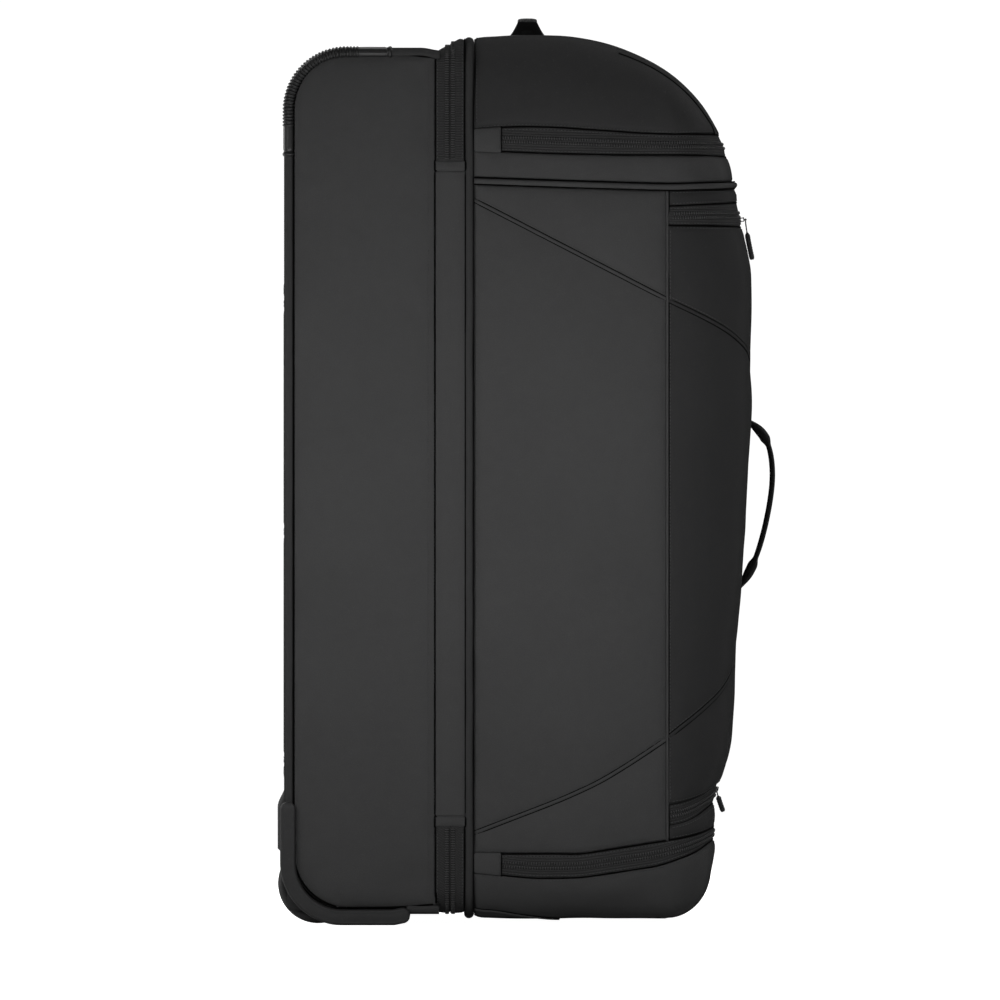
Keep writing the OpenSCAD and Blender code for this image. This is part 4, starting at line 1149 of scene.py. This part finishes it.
def plan(s, z):
    """Girth of the front compartment: straight side, elliptical corner, face; mirrored past the middle."""
    s, z = np.broadcast_arrays(s, z)
    q, half = fold_back(s)
    turn = np.clip((q - S_SIDE) / PLAN_R, 0, np.pi / 2)
    x = np.where(q < S_SIDE, TUB_X + q, SEAM_X + (front_x(z) - SEAM_X) * np.sin(turn))
    y = HALF_W - PLAN_R + PLAN_R * np.cos(turn) - np.maximum(q - S_SIDE - S_TURN, 0)
    return np.stack([x, half * y, z], -1)


def by_depth(points):
    """A line given by (depth, height) as a function of the girth station, depth as it is near the toe."""
    line = soft_line(points, 6 * MM)

    def height(s):
        q, _ = fold_back(s)
        turn = np.clip((q - S_SIDE) / PLAN_R, 0, np.pi / 2)
        depth = np.where(q < S_SIDE, TUB_X + q, SEAM_X + 44 * MM * np.sin(turn)) - BACK
        return line(depth)

    return height


def by_girth(points, blur=8 * MM):
    """A line given by (girth station, height) for the left half, mirrored on the right."""
    line = soft_line(points, blur)
    return lambda s: line(fold_back(s)[0])


TURN_END = (S_SIDE + S_TURN) / MM
MID = S_MID / MM
low_zip_top = by_depth([[170, 65], [250, 65], [271, 64.5], [342, 75.8], [370, 80.2], [386, 84],
                        [396, 89]])
low_zip_foot = by_depth([[170, 48.8], [228, 43], [271, 43.4], [341, 54], [376, 65], [388, 72], [396, 77.5]])
pocket_foot = by_depth([[346, 90], [370, 94], [384, 100.7], [391, 106], [396, 110]])
pocket_top = by_depth([[346, 109], [367, 112.4], [384, 118.2], [391, 124], [396, 129]])
yoke_line = by_girth([[0, 681.0], [96, 677.6], [180, 675.2], [240, 677.0], [TURN_END, 679.0], [MID, 679.0]])
top_zip_foot = by_girth([[0, 709.0], [70, 706.2], [140, 704.8], [TURN_END, 705.0], [MID, 705.4]])
top_zip_top = by_girth([[0, 727.6], [35, 730.4], [70, 730.0], [150, 724.6], [177, 723.4], [TURN_END, 725.0],
                        [MID, 725.0]])
pocket2_foot = by_girth([[177, 640.5], [TURN_END, 640.5], [MID, 640.5]])
pocket2_top = by_girth([[177, 657.6], [240, 660.5], [TURN_END, 663.0], [MID, 663.0]])
high_seam = by_girth([[0, 663.4], [177.4, 571.9], [268.8, 530.7], [350, 494], [MID, 470]], 12 * MM)
low_seam = by_girth([[0, 84.2], [78.5, 114.4], [115, 130.8], [151.7, 153.7], [177.4, 171.5],
                     [TURN_END, 237.9], [350, 268], [MID, 301]], 10 * MM)


def girth_sheet(start, end, low, high, step_s, step_z, ends=0.35):
    """Part of the front's wall between two girth stations and between two lines."""
    s = spread(start, end, max(8, int((end - start) / step_s)), ends)
    rise = float(np.max(high(s) - low(s)))
    t = spread(0, 1, max(5, int(rise / step_z)), ends)
    z = low(s)[None] + (high(s) - low(s))[None] * t[:, None]
    sheet = Sheet(plan(s[None], z))
    sheet.s, sheet.t, sheet.low, sheet.high = s, t, low, high
    return sheet


def on_girth(sheet, line, start, end, step=3 * MM, lift=0.0):
    """Points and outward vectors along a height line laid on a girth sheet."""
    s = np.linspace(start, end, max(4, int((end - start) / step)))
    share = (line(s) - sheet.low(s)) / (sheet.high(s) - sheet.low(s))
    keep = (share > 0.004) & (share < 0.996)
    row = np.interp(share, sheet.t, np.arange(len(sheet.t)))
    col = np.interp(s, sheet.s, np.arange(len(sheet.s)))
    at, out = sheet.at(row[keep], col[keep], lift)
    return at, out


def valley(sheet, line, depth, width):
    """Height change near a line on a girth sheet: -depth e^(-|distance|/width)."""
    z = sheet.base[..., 2]
    gap = np.abs(z - line(sheet.s)[None]) * 0.86
    return -depth * np.exp(-gap / width)


def offset_line(line, up):
    """The same line, moved up."""
    return lambda s: line(s) + up


def diagonal(sheet, line, label, start, end, material):
    """A diagonal folded seam with painted shade cords along its two edges and a stitched row above it."""
    at = on_girth(sheet, line, start, end, 4 * MM)
    seam(f"seam_{label}", at, 3.0 * MM, 1.2 * MM, material, "front")
    stitch(on_girth(sheet, offset_line(line, 4.0 * MM), start, end, 3 * MM, SEWN), "front")


def panel(name, nodes, start, end, low, high, material, slot, seed, crown, tuck=2.2 * MM, seams=(),
          step=4.6 * MM, wander=1.2 * MM, reach=45 * MM):
    """A padded wall panel of the front compartment: turned in towards its upright seams, with valleys
    where seams cross it."""
    sheet = girth_sheet(start, end, low, high, step, step)
    if seams:
        to_seam = sheet.edge1
        if start == 0:
            to_seam = sheet.run1[:, -1:] - sheet.run1
        if end == S_ALL:
            to_seam = sheet.run1
        sheet.push(-3.2 * MM * np.exp(-to_seam / (20 * MM)) * smooth(sheet.edge0 / (70 * MM)))
        sewn = [np.abs(sheet.base[..., 2] - line(sheet.s)[None]) < 8 * MM for line in seams]
        sheet.drape(crown, np.any(sewn, axis=0))
        crown *= 0.45
    sheet.relief(crown, tuck, seed, wander=wander, reach=reach, pucker=0.42 * MM)
    for line in seams:
        sheet.push(valley(sheet, line, 1.3 * MM, 9 * MM) + valley(sheet, line, 0.6 * MM, 3 * MM))
    made = sheet.piece(name, material, "front", slot, 2.4 * MM, LINING)
    if nodes:
        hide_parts(*nodes)
    return sheet


def zip_strip(name, node, start, end, low, high, inset, seed, coil_end):
    """Zip tape let into the wall: two halves either side of the coil, and a coil down the middle."""
    sheet = girth_sheet(start, end, offset_line(low, -1.2 * MM), offset_line(high, 1.2 * MM), 4 * MM,
                        1.6 * MM, 0.1)
    sheet.push(-inset + 0.3 * MM * ripples(sheet.base, 45 * MM, seed)
               - 0.5 * MM * np.exp(-sheet.edge0 / (2 * MM)))
    middle = np.abs(sheet.run0 - sheet.run0[-1:] / 2)
    sheet.push(0.35 * MM * np.exp(-(middle / (5.5 * MM)) ** 4))
    made = sheet.piece(name, TAPE, "front", "zip_tape", 1.2 * MM)
    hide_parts(node)
    centre = lambda s: (low(s) + high(s)) / 2
    at, out = on_girth(sheet, centre, start + coil_end, end - coil_end, 3 * MM, 0.1 * MM)
    coil(name.replace("tape", "coil"), at, out, "front", 3.3 * MM)
    for side in (1, -1):
        stitch(sheet.along(0, side * 3.2 * MM, -0.15 * MM, 3 * MM), "front")
        # painted shade along both edges of the tape
        gap(sheet.along(0, side * 1.0 * MM, 0.5 * MM), "front", 1.5 * MM, 0.9 * MM)
    return sheet


def end_patch(name, sheet, start, end):
    """Plain fabric tab sewn over the end of a zip."""
    s = np.linspace(start, end, 16)
    t = np.linspace(0.0, 1.0, 14)
    col = np.interp(s, sheet.s, np.arange(len(sheet.s)))
    row = np.interp(t, sheet.t, np.arange(len(sheet.t)))
    rows, cols = np.meshgrid(row, col, indexing="ij")
    at, _ = sheet.at(rows.ravel(), cols.ravel())
    patch = Sheet(at.reshape(14, 16, 3))
    patch.push(1.9 * MM - 0.5 * MM * np.exp(-patch.edge1 / (1.2 * MM))
               - 0.9 * MM * np.exp(-patch.edge0 / (2 * MM)))
    # painted shade under the patch's edge
    gap(patch.along(1, 0.0 if start > S_MID else -0.01 * MM, -0.3 * MM), "front", 1.1 * MM, 1.6 * MM)
    patch.piece(name, PANEL, "front", "panel_fabric", 1.2 * MM)
    stitch(patch.along(1, 2.2 * MM if start > S_MID else -2.2 * MM, SEWN, 2 * MM), "front")


def front_walls():
    """Side panels, rounded front in three parts, yoke and all four zips of the front compartment."""
    left, right = S_SIDE, S_ALL - S_SIDE
    body_top = offset_line(yoke_line, -2.6 * MM)
    for name, start, end, seed in (("left", 0, left, 101), ("right", right, S_ALL, 111)):
        sheet = panel(f"front_side_panel_{name}", [f"front_side_{name}"], start, end, low_zip_top, body_top,
                      PANEL, "panel_fabric", seed, 4.2 * MM, seams=(high_seam, low_seam))
        diagonal(sheet, high_seam, f"high_{name}", start, end, PANEL)
        diagonal(sheet, low_seam, f"low_{name}", start, end, PANEL)
        near, far = (2.2 * MM, -2.6 * MM) if name == "left" else (-2.2 * MM, 2.6 * MM)
        stitch(sheet.along(1, near, SEWN, 4 * MM), "front")
        stitch(sheet.along(1, far, SEWN, 4 * MM), "front")
        stitch(sheet.along(0, 2.4 * MM, SEWN, 4 * MM), "front")
        at, out = sheet.along(1, -0.4 * MM if name == "left" else 0.4 * MM, 0.6 * MM)
        seam(f"seam_upright_{name}", (at, out), 2.4 * MM, 1.7 * MM, PANEL, "front",
             sides=(1,) if name == "left" else (-1,))
    middle = panel("front_face_panel", ["front_panel"], left, right, pocket_top, pocket2_foot, FRONT,
                   "front_fabric", 121, 3.4 * MM, seams=(high_seam, low_seam), reach=60 * MM)
    diagonal(middle, high_seam, "high_face", left, right, FRONT)
    diagonal(middle, low_seam, "low_face", left, right, FRONT)
    for sheet in (middle,
                  panel("front_low_panel", [], left, right, low_zip_top, pocket_foot, FRONT, "front_fabric",
                        131, 1.6 * MM, reach=12 * MM, wander=0.5 * MM),
                  panel("front_high_panel", [], left, right, pocket2_top, body_top, FRONT, "front_fabric",
                        141, 1.0 * MM, reach=10 * MM, wander=0.4 * MM)):
        for offset in (2.4 * MM, -2.4 * MM):
            stitch(sheet.along(0, offset, SEWN, 4 * MM), "front")
            stitch(sheet.along(1, offset, SEWN, 4 * MM), "front")
    panel("yoke_band", ["yoke_strip"], 0, S_ALL, offset_line(yoke_line, 2.6 * MM), top_zip_foot, PANEL,
          "panel_fabric", 151, 0.8 * MM, 1.6 * MM, reach=8 * MM, wander=0.4 * MM, step=3.6 * MM)
    top = zip_strip("top_zip_tape_strip", "top_zip_tape", 0, S_ALL, top_zip_foot, top_zip_top, 1.4 * MM,
                    161, 26 * MM)
    low = zip_strip("low_zip_tape_strip", "bottom_zip_tape", 0, S_ALL, low_zip_foot, low_zip_top, 1.4 * MM,
                    171, 26 * MM)
    zip_strip("high_pocket_tape_strip", "upper_pocket_zip_tape", left, right, pocket2_foot, pocket2_top,
              1.8 * MM, 181, 6 * MM)
    zip_strip("low_pocket_tape_strip", "lower_pocket_zip_tape", left, right, pocket_foot, pocket_top,
              3.2 * MM, 191, 6 * MM)
    for name, sheet in (("top", top), ("low", low)):
        end_patch(f"{name}_zip_end_left", sheet, 0, 25 * MM)
        end_patch(f"{name}_zip_end_right", sheet, S_ALL - 25 * MM, S_ALL)
    s = np.linspace(0, S_ALL, 260)
    path = plan(s, yoke_line(s))
    out = unit(np.cross(np.gradient(path, axis=0), (0, 0, 1)))
    # painted shade above and below the yoke piping
    for up in (-3.1 * MM, 3.1 * MM):
        gap((path + out * 0.5 * MM + np.array([0, 0, up]), out), "front", 1.3 * MM, 1.0 * MM)
    path = path + out * 0.5 * MM
    made = swept("yoke_edge_piping", path, out, cord(2.6 * MM, 12), PANEL, "front")
    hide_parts("yoke_piping")


def both_halves(x, y, z):
    """Grid of points from its left half, whose last column is the middle line, and the same half mirrored."""
    left = np.stack([x, y, z], -1)
    return np.concatenate([left, left[:, -2::-1] * [1, -1, 1]], 1)


def top_cap():
    """Soft lid: for each depth a section from the zip's line up the side, round a soft corner and over."""
    reach = front_x(727.4 * MM) - SEAM_X
    x = np.concatenate([np.linspace(TUB_X, SEAM_X, 60)[:-1],
                        SEAM_X + reach * np.sin(np.linspace(0, np.pi / 2, 34))])
    ahead = np.clip((x - SEAM_X) / reach, 0, 1)
    base = top_zip_top(np.where(x < SEAM_X, x - TUB_X, S_SIDE + PLAN_R * np.arcsin(ahead)))
    wide = HALF_W - PLAN_R + PLAN_R * np.sqrt(1 - ahead ** 2)
    dome = DOME_Z + np.sqrt(np.maximum(DOME_R ** 2 - np.maximum(x - DOME_X, 0) ** 2, 0))
    top = np.where(x < DOME_X, CASE_TOP, dome)
    top = np.maximum(top, base) - (top[-1] - base[-1]) * smooth(ahead)
    rise = np.maximum(top - base, 0)
    corner = np.minimum(34 * MM + 26 * MM * smooth((x - TUB_X) / (160 * MM)), wide * 0.9)
    angle = np.linspace(0, np.pi / 2, 30)
    power = 0.82
    out = 1 - np.cos(angle) ** power
    up = np.sin(angle) ** power
    flat = np.linspace(0, 1, 34)[1:]
    y_left = np.concatenate([-(wide[:, None] - corner[:, None] * out[None]),
                             -(wide - corner)[:, None] * (1 - flat)[None]], 1)
    z_left = np.concatenate([base[:, None] + rise[:, None] * up[None],
                             np.broadcast_to((base + rise)[:, None], (len(x), len(flat)))], 1)
    x_left = np.broadcast_to(x[:, None], y_left.shape)
    sheet = Sheet(both_halves(x_left, y_left, z_left), away=(0.05, 0, 0.65))
    sheet.normals[-1] = sheet.normals[-2]
    sheet.drape(2.4 * MM)
    sheet.relief(0.4 * MM, 2.0 * MM, 201, wander=0.9 * MM, pucker=0.4 * MM, reach=30 * MM)
    rows = np.linspace(44, len(x) - 9, 60)
    share = 1 - 6.0 * MM / np.maximum(np.interp(rows, np.arange(len(x)), rise), 8 * MM)
    for side in (0, 1):
        cols = 29 * np.arcsin(share ** (1 / power)) / (np.pi / 2)
        if side:
            cols = sheet.points.shape[1] - 1 - cols
        seam(f"lid_seam_{side}", sheet.at(rows, cols), 2.6 * MM, 1.4 * MM, CAP, "front")
    made = sheet.piece("top_lid_panel", CAP, "front", "cap_fabric", 2.4 * MM, LINING)
    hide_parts("top_cap")
    stitch(sheet.along(0, 2.4 * MM, SEWN, 6 * MM), "front")
    for offset in (2.4 * MM, -2.4 * MM):
        stitch(sheet.along(1, offset, SEWN, 6 * MM), "front")


def bottom_cap():
    """Soft foot: sections from the low zip's line down the side, round the edge and across underneath,
    tilting as they come round the toe until the last one lies along the front."""
    toe_r, toe_x = 41 * MM, FRONT_X - 74.4 * MM
    toe_z = CASE_LOW + toe_r + 0.6 * MM
    end_z = float(low_zip_foot(np.array([S_MID]))[0])
    bend = arc((toe_x, toe_z), toe_r, 270, 357, 34)
    outline = np.concatenate([np.column_stack([np.linspace(TUB_X, toe_x, 56)[:-1], np.full(55, CASE_LOW)]),
                              bend, np.linspace(bend[-1], (front_x(end_z), end_z), 12)[1:]])
    run = lengths(outline[:, None], 0)[:, 0]
    flat_run = toe_x - TUB_X
    share = np.clip((run - flat_run) / (run[-1] - flat_run), 0, 1)
    turn = share * np.pi / 2
    s = np.where(run < flat_run, outline[:, 0] - TUB_X, S_SIDE + PLAN_R * turn)
    base = plan(s, low_zip_foot(s))
    edge = 32 * MM
    angle = np.linspace(0, np.pi / 2, 26)
    out, down = 1 - np.cos(angle) ** 0.85, np.sin(angle) ** 0.85
    flat = np.linspace(0, 1, 30)[1:]
    wide = -base[:, 1]
    shift = (outline - base[:, [0, 2]])
    x_left = np.concatenate([base[:, :1] + shift[:, :1] * down[None],
                             np.repeat(outline[:, :1], len(flat), 1)], 1)
    z_left = np.concatenate([base[:, 2:] + shift[:, 1:] * down[None],
                             np.repeat(outline[:, 1:], len(flat), 1)], 1)
    y_left = np.concatenate([-(wide[:, None] - edge * out[None]),
                             -(wide - edge)[:, None] * (1 - flat)[None]], 1)
    sheet = Sheet(both_halves(x_left, y_left, z_left), away=(0.05, 0, 0.12))
    sheet.normals[-1] = sheet.normals[-2]
    sheet.drape(1.8 * MM)
    sheet.relief(0.2 * MM, 1.8 * MM, 211, wander=0.8 * MM, pucker=0.5 * MM, reach=30 * MM)
    made = sheet.piece("foot_panel", FOOT, "front", "panel_fabric", 2.4 * MM, LINING)
    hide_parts("bottom_cap")
    for offset in (2.4 * MM, -2.4 * MM):
        stitch(sheet.along(1, offset, SEWN, 6 * MM), "front")
    rows = np.linspace(0, 24, 30)
    for side in (0, 1):
        cols = 15 + 9 * (rows / 24) ** 1.5
        if side:
            cols = sheet.points.shape[1] - 1 - cols
        seam(f"foot_fold_{side}", sheet.at(rows, cols), 3.4 * MM, 1.8 * MM, FOOT, "front")


# ---------------------------------------------------------------- divider, handles, zip pulls
def divider():
    """Bound fabric sheet between the compartments."""
    lo, hi = corners("divider_panel")
    y = spread(lo[1] + 0.5 * MM, hi[1] - 0.5 * MM, 70, 0.3)
    z = spread(lo[2] + 0.5 * MM, hi[2] - 0.5 * MM, 140, 0.3)
    r = 18 * MM
    mid_z, half_z = (lo[2] + hi[2]) / 2, (hi[2] - lo[2]) / 2
    depth_z = np.maximum(np.abs(z - mid_z) - (half_z - r), 0)
    squeeze = 1 - (r - np.sqrt(np.maximum(r * r - depth_z ** 2, 0))) / hi[1]
    x = (lo[0] + hi[0]) / 2 + 0.5 * MM
    points = np.stack(np.broadcast_arrays(x, y[None] * squeeze[:, None], z[:, None]), -1)
    sheet = Sheet(points, away=(-1, 0, 0.4))
    sheet.relief(0.0, 0.3 * MM, 301, wander=0.35 * MM, pucker=0.2 * MM)
    made = sheet.piece("divider_sheet", LINING, "divider", "lining", 1.0 * MM)
    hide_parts("divider_panel")
    blo, bhi = corners("divider_binding")
    half = 2.6 * MM
    path = frame_loop((blo[0] + bhi[0]) / 2, bhi[1] - half, blo[2] + half, bhi[2] - half, 22 * MM, 12, 5 * MM)
    binding = swept("divider_edge_binding", path, (1, 0, 0), pillow(5.6 * MM, 3.8 * MM, 2.6, 14),
                    WEB, "divider", closed=True)
    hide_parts("divider_binding")


def strap(name, path, outward, width, thick, node, folds=0.0):
    """Webbing handle: flat profile along a smooth path, narrower at its sewn ends, thicker at its folds."""
    run = lengths(path[:, None], 0)[:, 0]
    u = run / run[-1]
    narrow = 0.62 + 0.38 * smooth(np.minimum(u, 1 - u) / 0.16)
    plump = 0.85 + 0.35 * smooth(np.minimum(u, 1 - u) / 0.3)
    for end in (u, 1 - u):
        plump += folds * smooth(end / 0.12) * (1 - smooth((end - 0.155) / 0.05))
    made = swept(name, path, outward, pillow(width, thick, 3.0, 24), WEB, None,
                 scale=np.column_stack([narrow, plump]))
    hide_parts(node)
    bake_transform(made)


def box_stitch(centre, along, across, out, size, body):
    """A sewn box with a cross in it."""
    a, b = size[0] / 2, size[1] / 2
    path = np.array([[-a, -b], [a, -b], [a, b], [-a, b], [-a, -b], [a, b], [a, -b], [-a, b]])
    points = centre + path[:, :1] * along + path[:, 1:] * across
    for start, end in zip(points, points[1:]):
        line = np.linspace(start, end, 8)
        stitch((line, np.broadcast_to(out, line.shape)), body, 2.6 * MM)


def handles():
    """Front and top grab handles, with their sewn anchor patches."""
    depth, z = np.array([[423.5, 465], [427.5, 462.5], [434.5, 457.5], [442, 450], [447.5, 439.5],
                         [450.4, 424], [450.8, 407], [448.6, 388], [444.3, 366], [439, 346], [433.5, 331],
                         [427, 318], [421.5, 310], [417.5, 305]]).T
    path = curve3(at_depth(depth, 0, z), 2 * MM)
    out = np.cross(unit(np.gradient(path, axis=0)), (0, -1, 0))
    out *= np.sign(out[:, :1].mean())
    strap("front_grab_strap", path, out, 27 * MM, 4.3 * MM, "front_handle",
          1.15)
    base = TOPGRAB_LO[2] - 4 * MM
    rise = TOPGRAB_HI[2] - 2.1 * MM - base
    wide = TOPGRAB_HI[1]
    u = np.linspace(0, np.pi, 90)
    mid = (TOPGRAB_LO[0] + TOPGRAB_HI[0]) / 2
    path = np.stack([np.full_like(u, mid), -wide * np.cos(u), base + rise * np.sin(u) ** 0.6], -1)
    out = np.cross(unit(np.gradient(path, axis=0)), (1, 0, 0))
    out *= np.sign(out[:, 2:].mean())
    strap("top_grab_strap", resample(path, 2 * MM), (0, 0, 1), 18 * MM, 4.2 * MM, "top_handle")
    made = None
    for label, z0, z1 in (("low", 305, 335), ("high", 442, 469)):
        z = spread(z0 * MM, z1 * MM, 16, 0.4)[:, None]
        y = spread(-14 * MM, 14 * MM, 16, 0.4)[None]
        patch = Sheet(np.stack(np.broadcast_arrays(front_x(z) + 3.3 * MM, y, z), -1))
        patch.push(1.3 * MM - 1.0 * MM * np.exp(-np.minimum(patch.edge0, patch.edge1) / (1.5 * MM)))
        made = patch.piece(f"grab_patch_{label}", WEB, "front", "webbing", 1.4 * MM)
        centre, normal = patch.points[8, 8], patch.normals[8, 8]
        box_stitch(centre + normal * 0.2 * MM, np.cross((0, 1, 0), normal), np.array([0, 1.0, 0]), normal,
                   (20 * MM, 21 * MM), "front")
    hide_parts("handle_anchors")
    for side, label in ((-1, "left"), (1, "right")):
        x = spread(mid - 19 * MM, mid + 19 * MM, 16, 0.4)[:, None]
        y = spread(side * (wide - 10 * MM), side * (wide + 18 * MM), 16, 0.4)[None]
        patch = Sheet(np.stack(np.broadcast_arrays(x, y, CASE_TOP + 0.8 * MM), -1))
        patch.push(0.9 * MM - 1.0 * MM * np.exp(-np.minimum(patch.edge0, patch.edge1) / (1.5 * MM)))
        patch.piece(f"top_patch_{label}", WEB, "front", "webbing", 1.4 * MM)
        z = np.linspace(CASE_TOP - 1 * MM, TOPGRAB_LO[2] + 11 * MM, 16)
        fold = np.stack([np.full_like(z, mid), np.full_like(z, side * (wide - 2 * MM)), z], -1)
        rise = (z - z[0]) / (z[-1] - z[0])
        swept(f"top_strap_foot_{label}", fold, (0, side, 0), pillow(46 * MM, 5 * MM, 3.0, 24), WEB, "front",
              scale=np.column_stack([1 - 0.62 * rise ** 0.55, 1 - 0.5 * rise ** 3]))
        box_stitch(patch.points[8, 8] + np.array([0, 0, 0.2 * MM]), np.array([1.0, 0, 0]),
                   np.array([0, 1.0, 0]), np.array([0, 0, 1.0]), (31 * MM, 21 * MM), "front")


def zip_pull(node, fat, lean):
    """Rubber-covered tab: a rounded bar hung from the slider's pin, its ribbed grip leaning out."""
    lo, hi = corners(node)
    size = hi - lo
    flat = 0 if size[0] < size[1] else 1
    side = 1 - flat
    top, foot = hi[2] - 1.0 * MM, lo[2] + 0.2 * MM
    z = np.linspace(top, foot, 60)
    middle = (lo + hi) / 2
    pin = middle[side]
    path = np.zeros((60, 3))
    path[:, 2] = z
    path[:, flat] = middle[flat]
    stepped = node == "main_pull_upper"
    shift = 0.0
    if stepped:
        pin, shift = hi[side] - 4.6 * MM, -9.6 * MM
    path[:, side] = pin + shift * smooth((top - z - 3 * MM) / (7 * MM))
    path[:, flat] += lean * ((top - z) / (top - foot)) ** 1.3
    u = (top - z) / (top - foot)
    broad = np.where(u < 0.3, 0.62 + 0.38 * smooth(u / 0.3), 1 + 0.12 * smooth((u - 0.3) / 0.5))
    ribs = 0.22 * np.cos(2 * np.pi * (top - z) / (2.4 * MM)) * (u > 0.42) * (u < 0.9)
    thick = 1 + 0.9 * fat * smooth((u - 0.3) / 0.1) + ribs
    ends = round_ends(path, 2.6 * MM, 0.2)
    outward = np.zeros(3)
    outward[flat] = 1.0
    made = swept(node + "_tab", path, outward, pillow(6.4 * MM, 1.25 * MM, 3.0, 18), PULL, node,
                 scale=np.column_stack([broad * ends, thick * (0.4 + 0.6 * ends)]))
    pin_at = np.array([middle[0], middle[1], top - 0.2 * MM])
    pin_at[side] = pin
    bar = np.repeat(pin_at[None], 12, 0)
    bar[:, side] += np.linspace(-4.4, 4.4, 12) * MM
    swept(node + "_pin", bar, outward, cord(1.15 * MM, 12), ZIPMETAL, node)
    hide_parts(node)


# ---------------------------------------------------------------- carried-over frame nodes
def dress(material, *nodes):
    """Gives frame nodes a finish."""
    for node in nodes:
        target = bpy.data.objects[node]
        target.data.materials.clear()
        target.data.materials.append(material)


dress(BOARD, "back_board", "sleeve_foot")
dress(GRIP, "handle_cup", "grip_button")
dress(TUBE, "handle_sleeves", "middle_tubes", "inner_tubes")
dress(STEEL, "axles", "screws", "wheel_bearings_left", "wheel_bearings_right")
dress(HUB, "wheel_hub_left", "wheel_hub_right")
dress(ZIPMETAL, "main_slider_upper", "main_slider_lower", "top_slider", "bottom_slider",
      "upper_pocket_slider", "lower_pocket_slider")

for s in (-1, 1):
    tray_side(s)
    piping_and_guard(s)
    wheel_housing(s)
    wheel(s)
tray_wrap()
back_hardware()
shroud()
zip_band("tray_band_tape", "tray_zip_tape", TRAY_X - 1 * MM, COIL_X + 1.8 * MM, "tray", 1)
zip_band("front_band_tape", "front_zip_tape", COIL_X + 0.1 * MM, MOUTH_X + 1 * MM, "front", -1)
band_coils()
hinge()
mouth_piping()
front_walls()
top_cap()
bottom_cap()
divider()
handles()
for pull in ("main_pull_upper", "main_pull_lower", "top_pull", "bottom_pull"):
    zip_pull(pull, 1.4, 0.0)
for pull in ("upper_pocket_pull", "lower_pocket_pull"):
    zip_pull(pull, 3.2, 6.5 * MM)
sew()


# ---------------------------------------------------------------- studio
def area_light(name, place, aim, wide, tall, watts):
    """Soft light panel pointed at a place."""
    data = bpy.data.lights.new(name, "AREA")
    data.shape = "RECTANGLE"
    data.size, data.size_y = wide, tall
    data.energy = watts
    light = bpy.data.objects.new(name, data)
    bpy.context.scene.collection.objects.link(light)
    light.location = place
    light.visible_camera = False
    light.rotation_euler = (Vector(aim) - Vector(place)).to_track_quat("-Z", "Y").to_euler()
    return light


def studio():
    """Pale floor, white surround and soft lights, with the camera square to the left side."""
    floor = bpy.data.meshes.new("floor")
    floor.from_pydata([(-4, -4, 0), (4, -4, 0), (4, 4, 0), (-4, 4, 0)], [], [(0, 1, 2, 3)])
    ground = bpy.data.objects.new("floor", floor)
    bpy.context.scene.collection.objects.link(ground)
    pale = Finish("floor_paint", specular=0.05, Emission_Color=(1, 1, 1, 1))
    speck = pale.use(MOTTLE, Vector=pale.object, Scale=3.0)
    tone = pale.mix(speck["Value"], (0.60, 0.60, 0.60), (0.64, 0.64, 0.64))
    pale.finish(tone, pale.stretch(speck["Value"], 0, 1, 0.9, 0.95), [])
    seen = add(pale.tree, "LightPath").outputs["Is Camera Ray"]
    pale.tree.links.new(maths(pale.tree, "MULTIPLY", seen, 1.0), pale.shader.inputs["Emission Strength"])
    floor.materials.append(pale.material)
    world = bpy.data.worlds.new("surround")
    bpy.context.scene.world = world
    world.use_nodes = True
    back = world.node_tree.nodes["Background"]
    back.inputs["Color"].default_value = (1, 1, 1, 1)
    seen = add(world.node_tree, "LightPath").outputs["Is Camera Ray"]
    glow = maths(world.node_tree, "MULTIPLY_ADD", seen, 0.95, 0.10)
    world.node_tree.links.new(glow, back.inputs["Strength"])
    area_light("left_near", (-0.03, -0.78, 0.45), (-0.03, -0.19, 0.44), 1.0, 0.24, 4.05)
    area_light("left_far", (-2.10, -2.90, 1.20), (-0.02, -0.19, 0.42), 1.0, 1.0, 20.0)
    area_light("top", (0.0, 0.3, 2.4), (0.0, 0.0, 0.8), 1.0, 1.0, 15.0)
    area_light("right_side", (-0.15, 1.70, 0.75), (0.0, 0.19, 0.42), 0.9, 0.9, 22.0)
    area_light("behind", (-1.60, 0.45, 0.75), (-0.22, 0.0, 0.42), 0.9, 0.9, 15.0)
    area_light("ahead", (1.45, 0.60, 1.30), (0.2, 0.0, 0.62), 0.9, 0.9, 12.0)
    lens = bpy.data.cameras.new("camera")
    lens.lens = 500
    lens.sensor_width = 36
    lens.clip_end = 100
    camera = bpy.data.objects.new("camera", lens)
    bpy.context.scene.collection.objects.link(camera)
    camera.location = (BACK + 197.7 * MM, -(HALF_W + 12.708), 0.389)
    camera.rotation_euler = (math.pi / 2, 0, 0)
    bpy.context.scene.camera = camera
    bpy.context.scene.view_settings.view_transform = "Standard"


studio()
